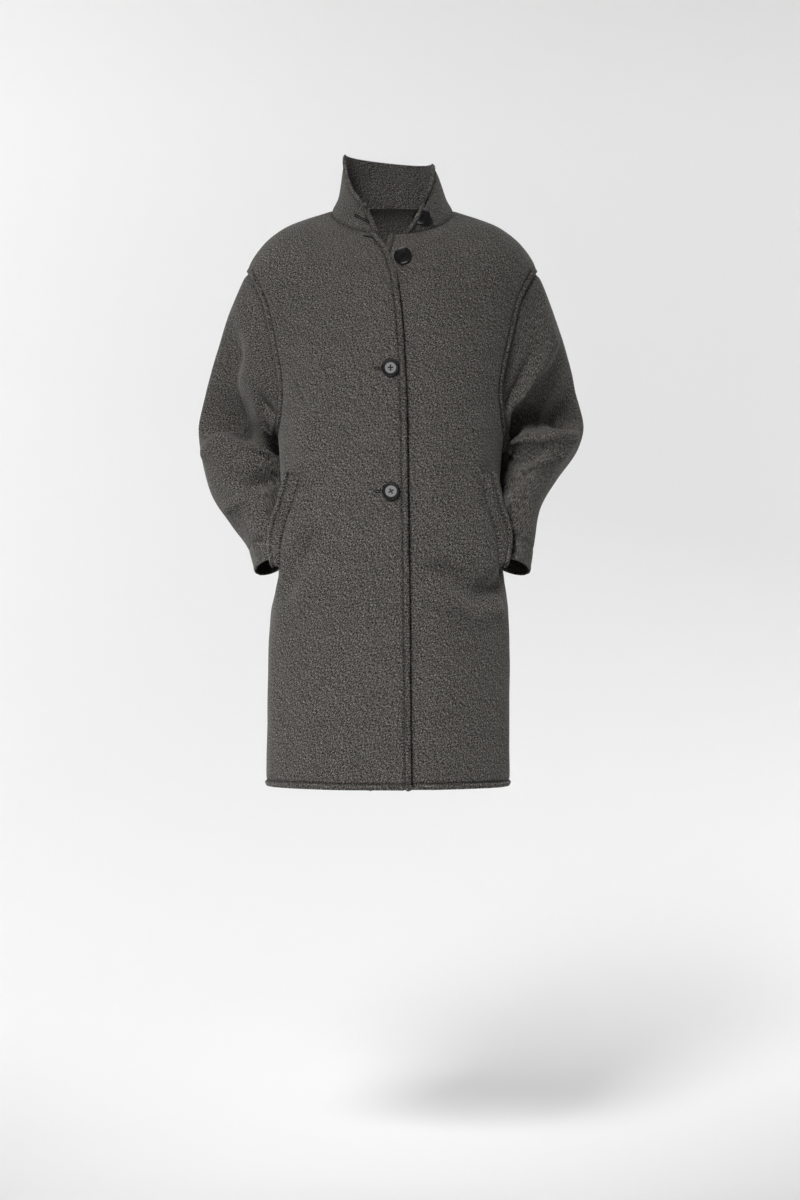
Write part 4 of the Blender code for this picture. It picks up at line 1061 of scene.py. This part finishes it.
def button_material():
    """Dark polished horn: faint pale streaks, and a gloss that follows them."""
    material, tree, shader = new_material("horn_button")
    place = node(tree, "TexCoord", {}).outputs["Object"]
    stretched = node(tree, "Mapping", {"Vector": place, "Scale": (420, 420, 110)}).outputs["Vector"]
    streak = node(tree, "TexNoise", {"Vector": stretched, "Scale": 1.0, "Detail": 3.0}).outputs["Fac"]
    wear = node(tree, "MapRange", {"Value": streak, "To Min": 0.10, "To Max": 0.20})
    feed(tree, shader, {
        "Base Color": ramp(tree, streak, (0.006, 0.006, 0.007, 1), (0.020, 0.019, 0.018, 1), 0.35, 0.75),
        "Roughness": wear.outputs["Result"],
        "Specular IOR Level": 0.8,
        "Coat Weight": 0.5,
        "Coat Roughness": 0.08,
    })
    return material


def hole_at(quarter, height):
    """The middle of one of a button's four holes."""
    angle = math.pi / 2 * quarter
    return Vector((BUTTON_HOLE_OFFSET * math.cos(angle), BUTTON_HOLE_OFFSET * math.sin(angle), height))


def model_button():
    """One button: a disc drawn up ring by ring to its rim, groove and dish, then drilled."""
    deselect()
    bpy.ops.mesh.primitive_circle_add(
        vertices=BUTTON_SIDES, radius=BUTTON_RADIUS * BUTTON_BACK, fill_type="NGON", location=(0, 0, 0)
    )
    button = bpy.context.object
    bpy.ops.object.mode_set(mode="EDIT")
    bpy.ops.mesh.select_all(action="SELECT")
    height, share = 0.0, BUTTON_BACK
    for next_height, next_share in BUTTON_STEPS:
        bpy.ops.mesh.extrude_region_move(TRANSFORM_OT_translate={"value": (0, 0, next_height - height)})
        scale = next_share / share
        bpy.ops.transform.resize(value=(scale, scale, 1), center_override=(0, 0, 0))
        height, share = next_height, next_share
    bpy.ops.mesh.select_all(action="SELECT")
    bpy.ops.mesh.normals_make_consistent(inside=False)
    bpy.ops.object.mode_set(mode="OBJECT")

    drills = []
    for quarter in range(4):
        deselect()
        bpy.ops.mesh.primitive_cylinder_add(
            vertices=BUTTON_HOLE_SIDES, radius=BUTTON_HOLE_RADIUS, depth=DRILL_LENGTH,
            location=hole_at(quarter, DRILL_HEIGHT),
        )
        drills.append(bpy.context.object)
    for drill in drills:
        deselect()
        button.select_set(True)
        bpy.context.view_layer.objects.active = button
        cut = button.modifiers.new("drill", "BOOLEAN")
        cut.operation = "DIFFERENCE"
        cut.solver = "EXACT"
        cut.object = drill
        bpy.ops.object.modifier_apply(modifier=cut.name)
        bpy.data.objects.remove(drill)
    bpy.ops.object.shade_smooth_by_angle(angle=math.radians(32))
    mesh = button.data.copy()
    bpy.data.objects.remove(button)
    return mesh


def button_places(cloths):
    """Each button on its cloth: its name, point, outward normal, seat and the turn of its holes."""
    surfaces = {"left": body_point, "right": right_front_point}
    places = [
        (name, cloths[front], surfaces[front](*front_place(x, z)), BUTTON_SEAT, turn)
        for name, front, x, z, turn in BUTTONS
    ]
    point = collar_point(COLLAR_BUTTON_ANGLE, COLLAR.stations[-1] * COLLAR_BUTTON_SHARE)
    places.append(("button_collar", cloths["collar"], point, COLLAR_BUTTON_SEAT, COLLAR_BUTTON_TURN))
    for name, cloth, point, seat, turn in places:
        on_cloth, outward, _, _ = cloth.tree.find_nearest(Vector(leaned(point)))
        yield name, on_cloth, outward, seat, turn


def make_buttons(cloths):
    """The four buttons, copied from one, each with a cross of thread through its holes."""
    pattern = model_button()
    for name, point, outward, seat, turn in button_places(cloths):
        facing = outward.to_track_quat("Z", "Y").to_matrix().to_4x4()
        spin = Matrix.Rotation(math.radians(turn), 4, "Z")
        place = Matrix.Translation(point + outward * seat) @ facing @ spin
        mesh = pattern.copy()
        mesh.name = f"horn_{name}"
        mesh.transform(place)
        button = add_piece(mesh.name, mesh, HORN)
        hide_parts(name)
        needle = Needlework()
        for quarter in (0, 1):
            start, end = [place @ hole_at(k, BUTTON_THREAD_HEIGHT) for k in (quarter, quarter + 2)]
            for shift in (-BUTTON_THREAD_RADIUS, BUTTON_THREAD_RADIUS):
                side = (end - start).cross(outward).normalized() * shift
                needle.stitch(start + side, end + side, outward, BUTTON_THREAD_RADIUS)
        needle.finish(f"{name}_thread", BUTTONHOLE_THREAD)
    bpy.data.meshes.remove(pattern)


def make_buttonholes(front, collar):
    """The right front's three buttonholes and the one in the collar's right end."""
    needle = Needlework()
    holes = [(front, right_front_point, *front_place(x, z)) for x, z in BUTTONHOLES]
    holes.append((collar, collar_point, COLLAR_HOLE_ANGLE, COLLAR.stations[-1] * COLLAR_HOLE_SHARE))
    for cloth, surface, angle, station in holes:
        point, ahead = [leaned(surface(a, station)) for a in (angle, angle + BUTTONHOLE_AIM)]
        needle.buttonhole(cloth, Vector(point), Vector(ahead - point))
    needle.finish("buttonhole_stitching", BUTTONHOLE_THREAD)


def make_stage():
    """A pale studio sweep: floor, a rounded corner and a wall behind."""
    deselect()
    bpy.ops.mesh.primitive_plane_add(size=1, location=(0, 0, SWEEP_FLOOR))
    sweep = bpy.context.object
    sweep.name = "studio_sweep"
    sweep.scale = SWEEP_SIZE
    bpy.ops.object.transform_apply(location=True, rotation=False, scale=True)
    bpy.ops.object.mode_set(mode="EDIT")
    bpy.ops.mesh.select_mode(type="EDGE")
    bpy.ops.mesh.select_all(action="DESELECT")
    bpy.ops.object.mode_set(mode="OBJECT")
    for edge in sweep.data.edges:
        edge.select = min(sweep.data.vertices[v].co.y for v in edge.vertices) > 0
    bpy.ops.object.mode_set(mode="EDIT")
    bpy.ops.mesh.extrude_region_move(TRANSFORM_OT_translate={"value": (0, 0, SWEEP_WALL)})
    bpy.ops.mesh.select_all(action="SELECT")
    bpy.ops.mesh.normals_make_consistent(inside=True)
    bpy.ops.object.mode_set(mode="OBJECT")
    round_off = sweep.modifiers.new("corner", "BEVEL")
    round_off.width = SWEEP_CORNER
    round_off.segments = 24
    bpy.ops.object.modifier_apply(modifier=round_off.name)
    bpy.ops.object.shade_smooth()
    paper, tree, shader = new_material("studio_paper")
    feed(tree, shader, {"Base Color": (0.82, 0.82, 0.82, 1), "Roughness": 0.9})
    sweep.data.materials.append(paper)


def add_light(name, place, aim, size, power, spread):
    lamp = bpy.data.lights.new(name, "AREA")
    lamp.shape = "RECTANGLE"
    lamp.size, lamp.size_y = size
    lamp.energy = power
    lamp.spread = math.radians(spread)
    light = bpy.data.objects.new(name, lamp)
    light.location = place
    light.rotation_euler = (Vector(aim) - Vector(place)).to_track_quat("-Z", "Y").to_euler()
    bpy.context.scene.collection.objects.link(light)
    return light


def make_studio():
    """Soft lights round the coat, and the camera square to its front."""
    scene = bpy.context.scene
    scene.view_settings.view_transform = "Standard"
    scene.world = bpy.data.worlds.new("studio")
    scene.world.use_nodes = True
    sky = scene.world.node_tree
    feed(sky, sky.nodes["Background"], {"Color": (1, 1, 1, 1), "Strength": 0.05})
    lights = {row[0]: add_light(*row) for row in LIGHTS}
    lights["key"].visible_glossy = False
    lights["mirrored_softbox"].visible_diffuse = False  # mostly the buttons' gloss shows it
    lens = bpy.data.cameras.new("camera")
    lens.sensor_fit = "VERTICAL"
    lens.sensor_height = SENSOR_HEIGHT
    lens.lens = SENSOR_HEIGHT * -CAMERA_PLACE[1] / VIEW_HEIGHT
    camera = bpy.data.objects.new("camera", lens)
    camera.location = CAMERA_PLACE
    camera.rotation_euler = (math.radians(90), 0, 0)
    scene.collection.objects.link(camera)
    scene.camera = camera


MELANGE = melange_group()
WOOL = cloth_material("charcoal_wool", (0.049, 0.0468, 0.0436, 1), 5.4, 0.16)
THREAD = thread_material("thread", (0.018, 0.017, 0.016, 1), (0.055, 0.052, 0.048, 1))
BUTTONHOLE_THREAD = thread_material(
    "buttonhole_thread", (0.003, 0.003, 0.003, 1), (0.012, 0.011, 0.011, 1)
)
HORN = button_material()

stitches = Needlework()
left_front = make_front("front_left", 1, body_point, "left_x", stitches)
right_front = make_front("front_right", -1, right_front_point, "right_x", stitches)
make_back(stitches)
collar = make_collar(stitches)
make_sleeve(Sleeve(1, LEFT_SLEEVE, LEFT_SLEEVE_FOLDS), "sleeve_left", stitches)
make_sleeve(Sleeve(-1, RIGHT_SLEEVE, RIGHT_SLEEVE_FOLDS), "sleeve_right", stitches)
make_welt("welt_left", 1, body_point, stitches)
make_welt("welt_right", -1, right_front_point, stitches)
stitches.finish("topstitching", THREAD)
make_buttons({"left": left_front, "right": right_front, "collar": collar})
make_buttonholes(right_front, collar)
make_stage()
make_studio()
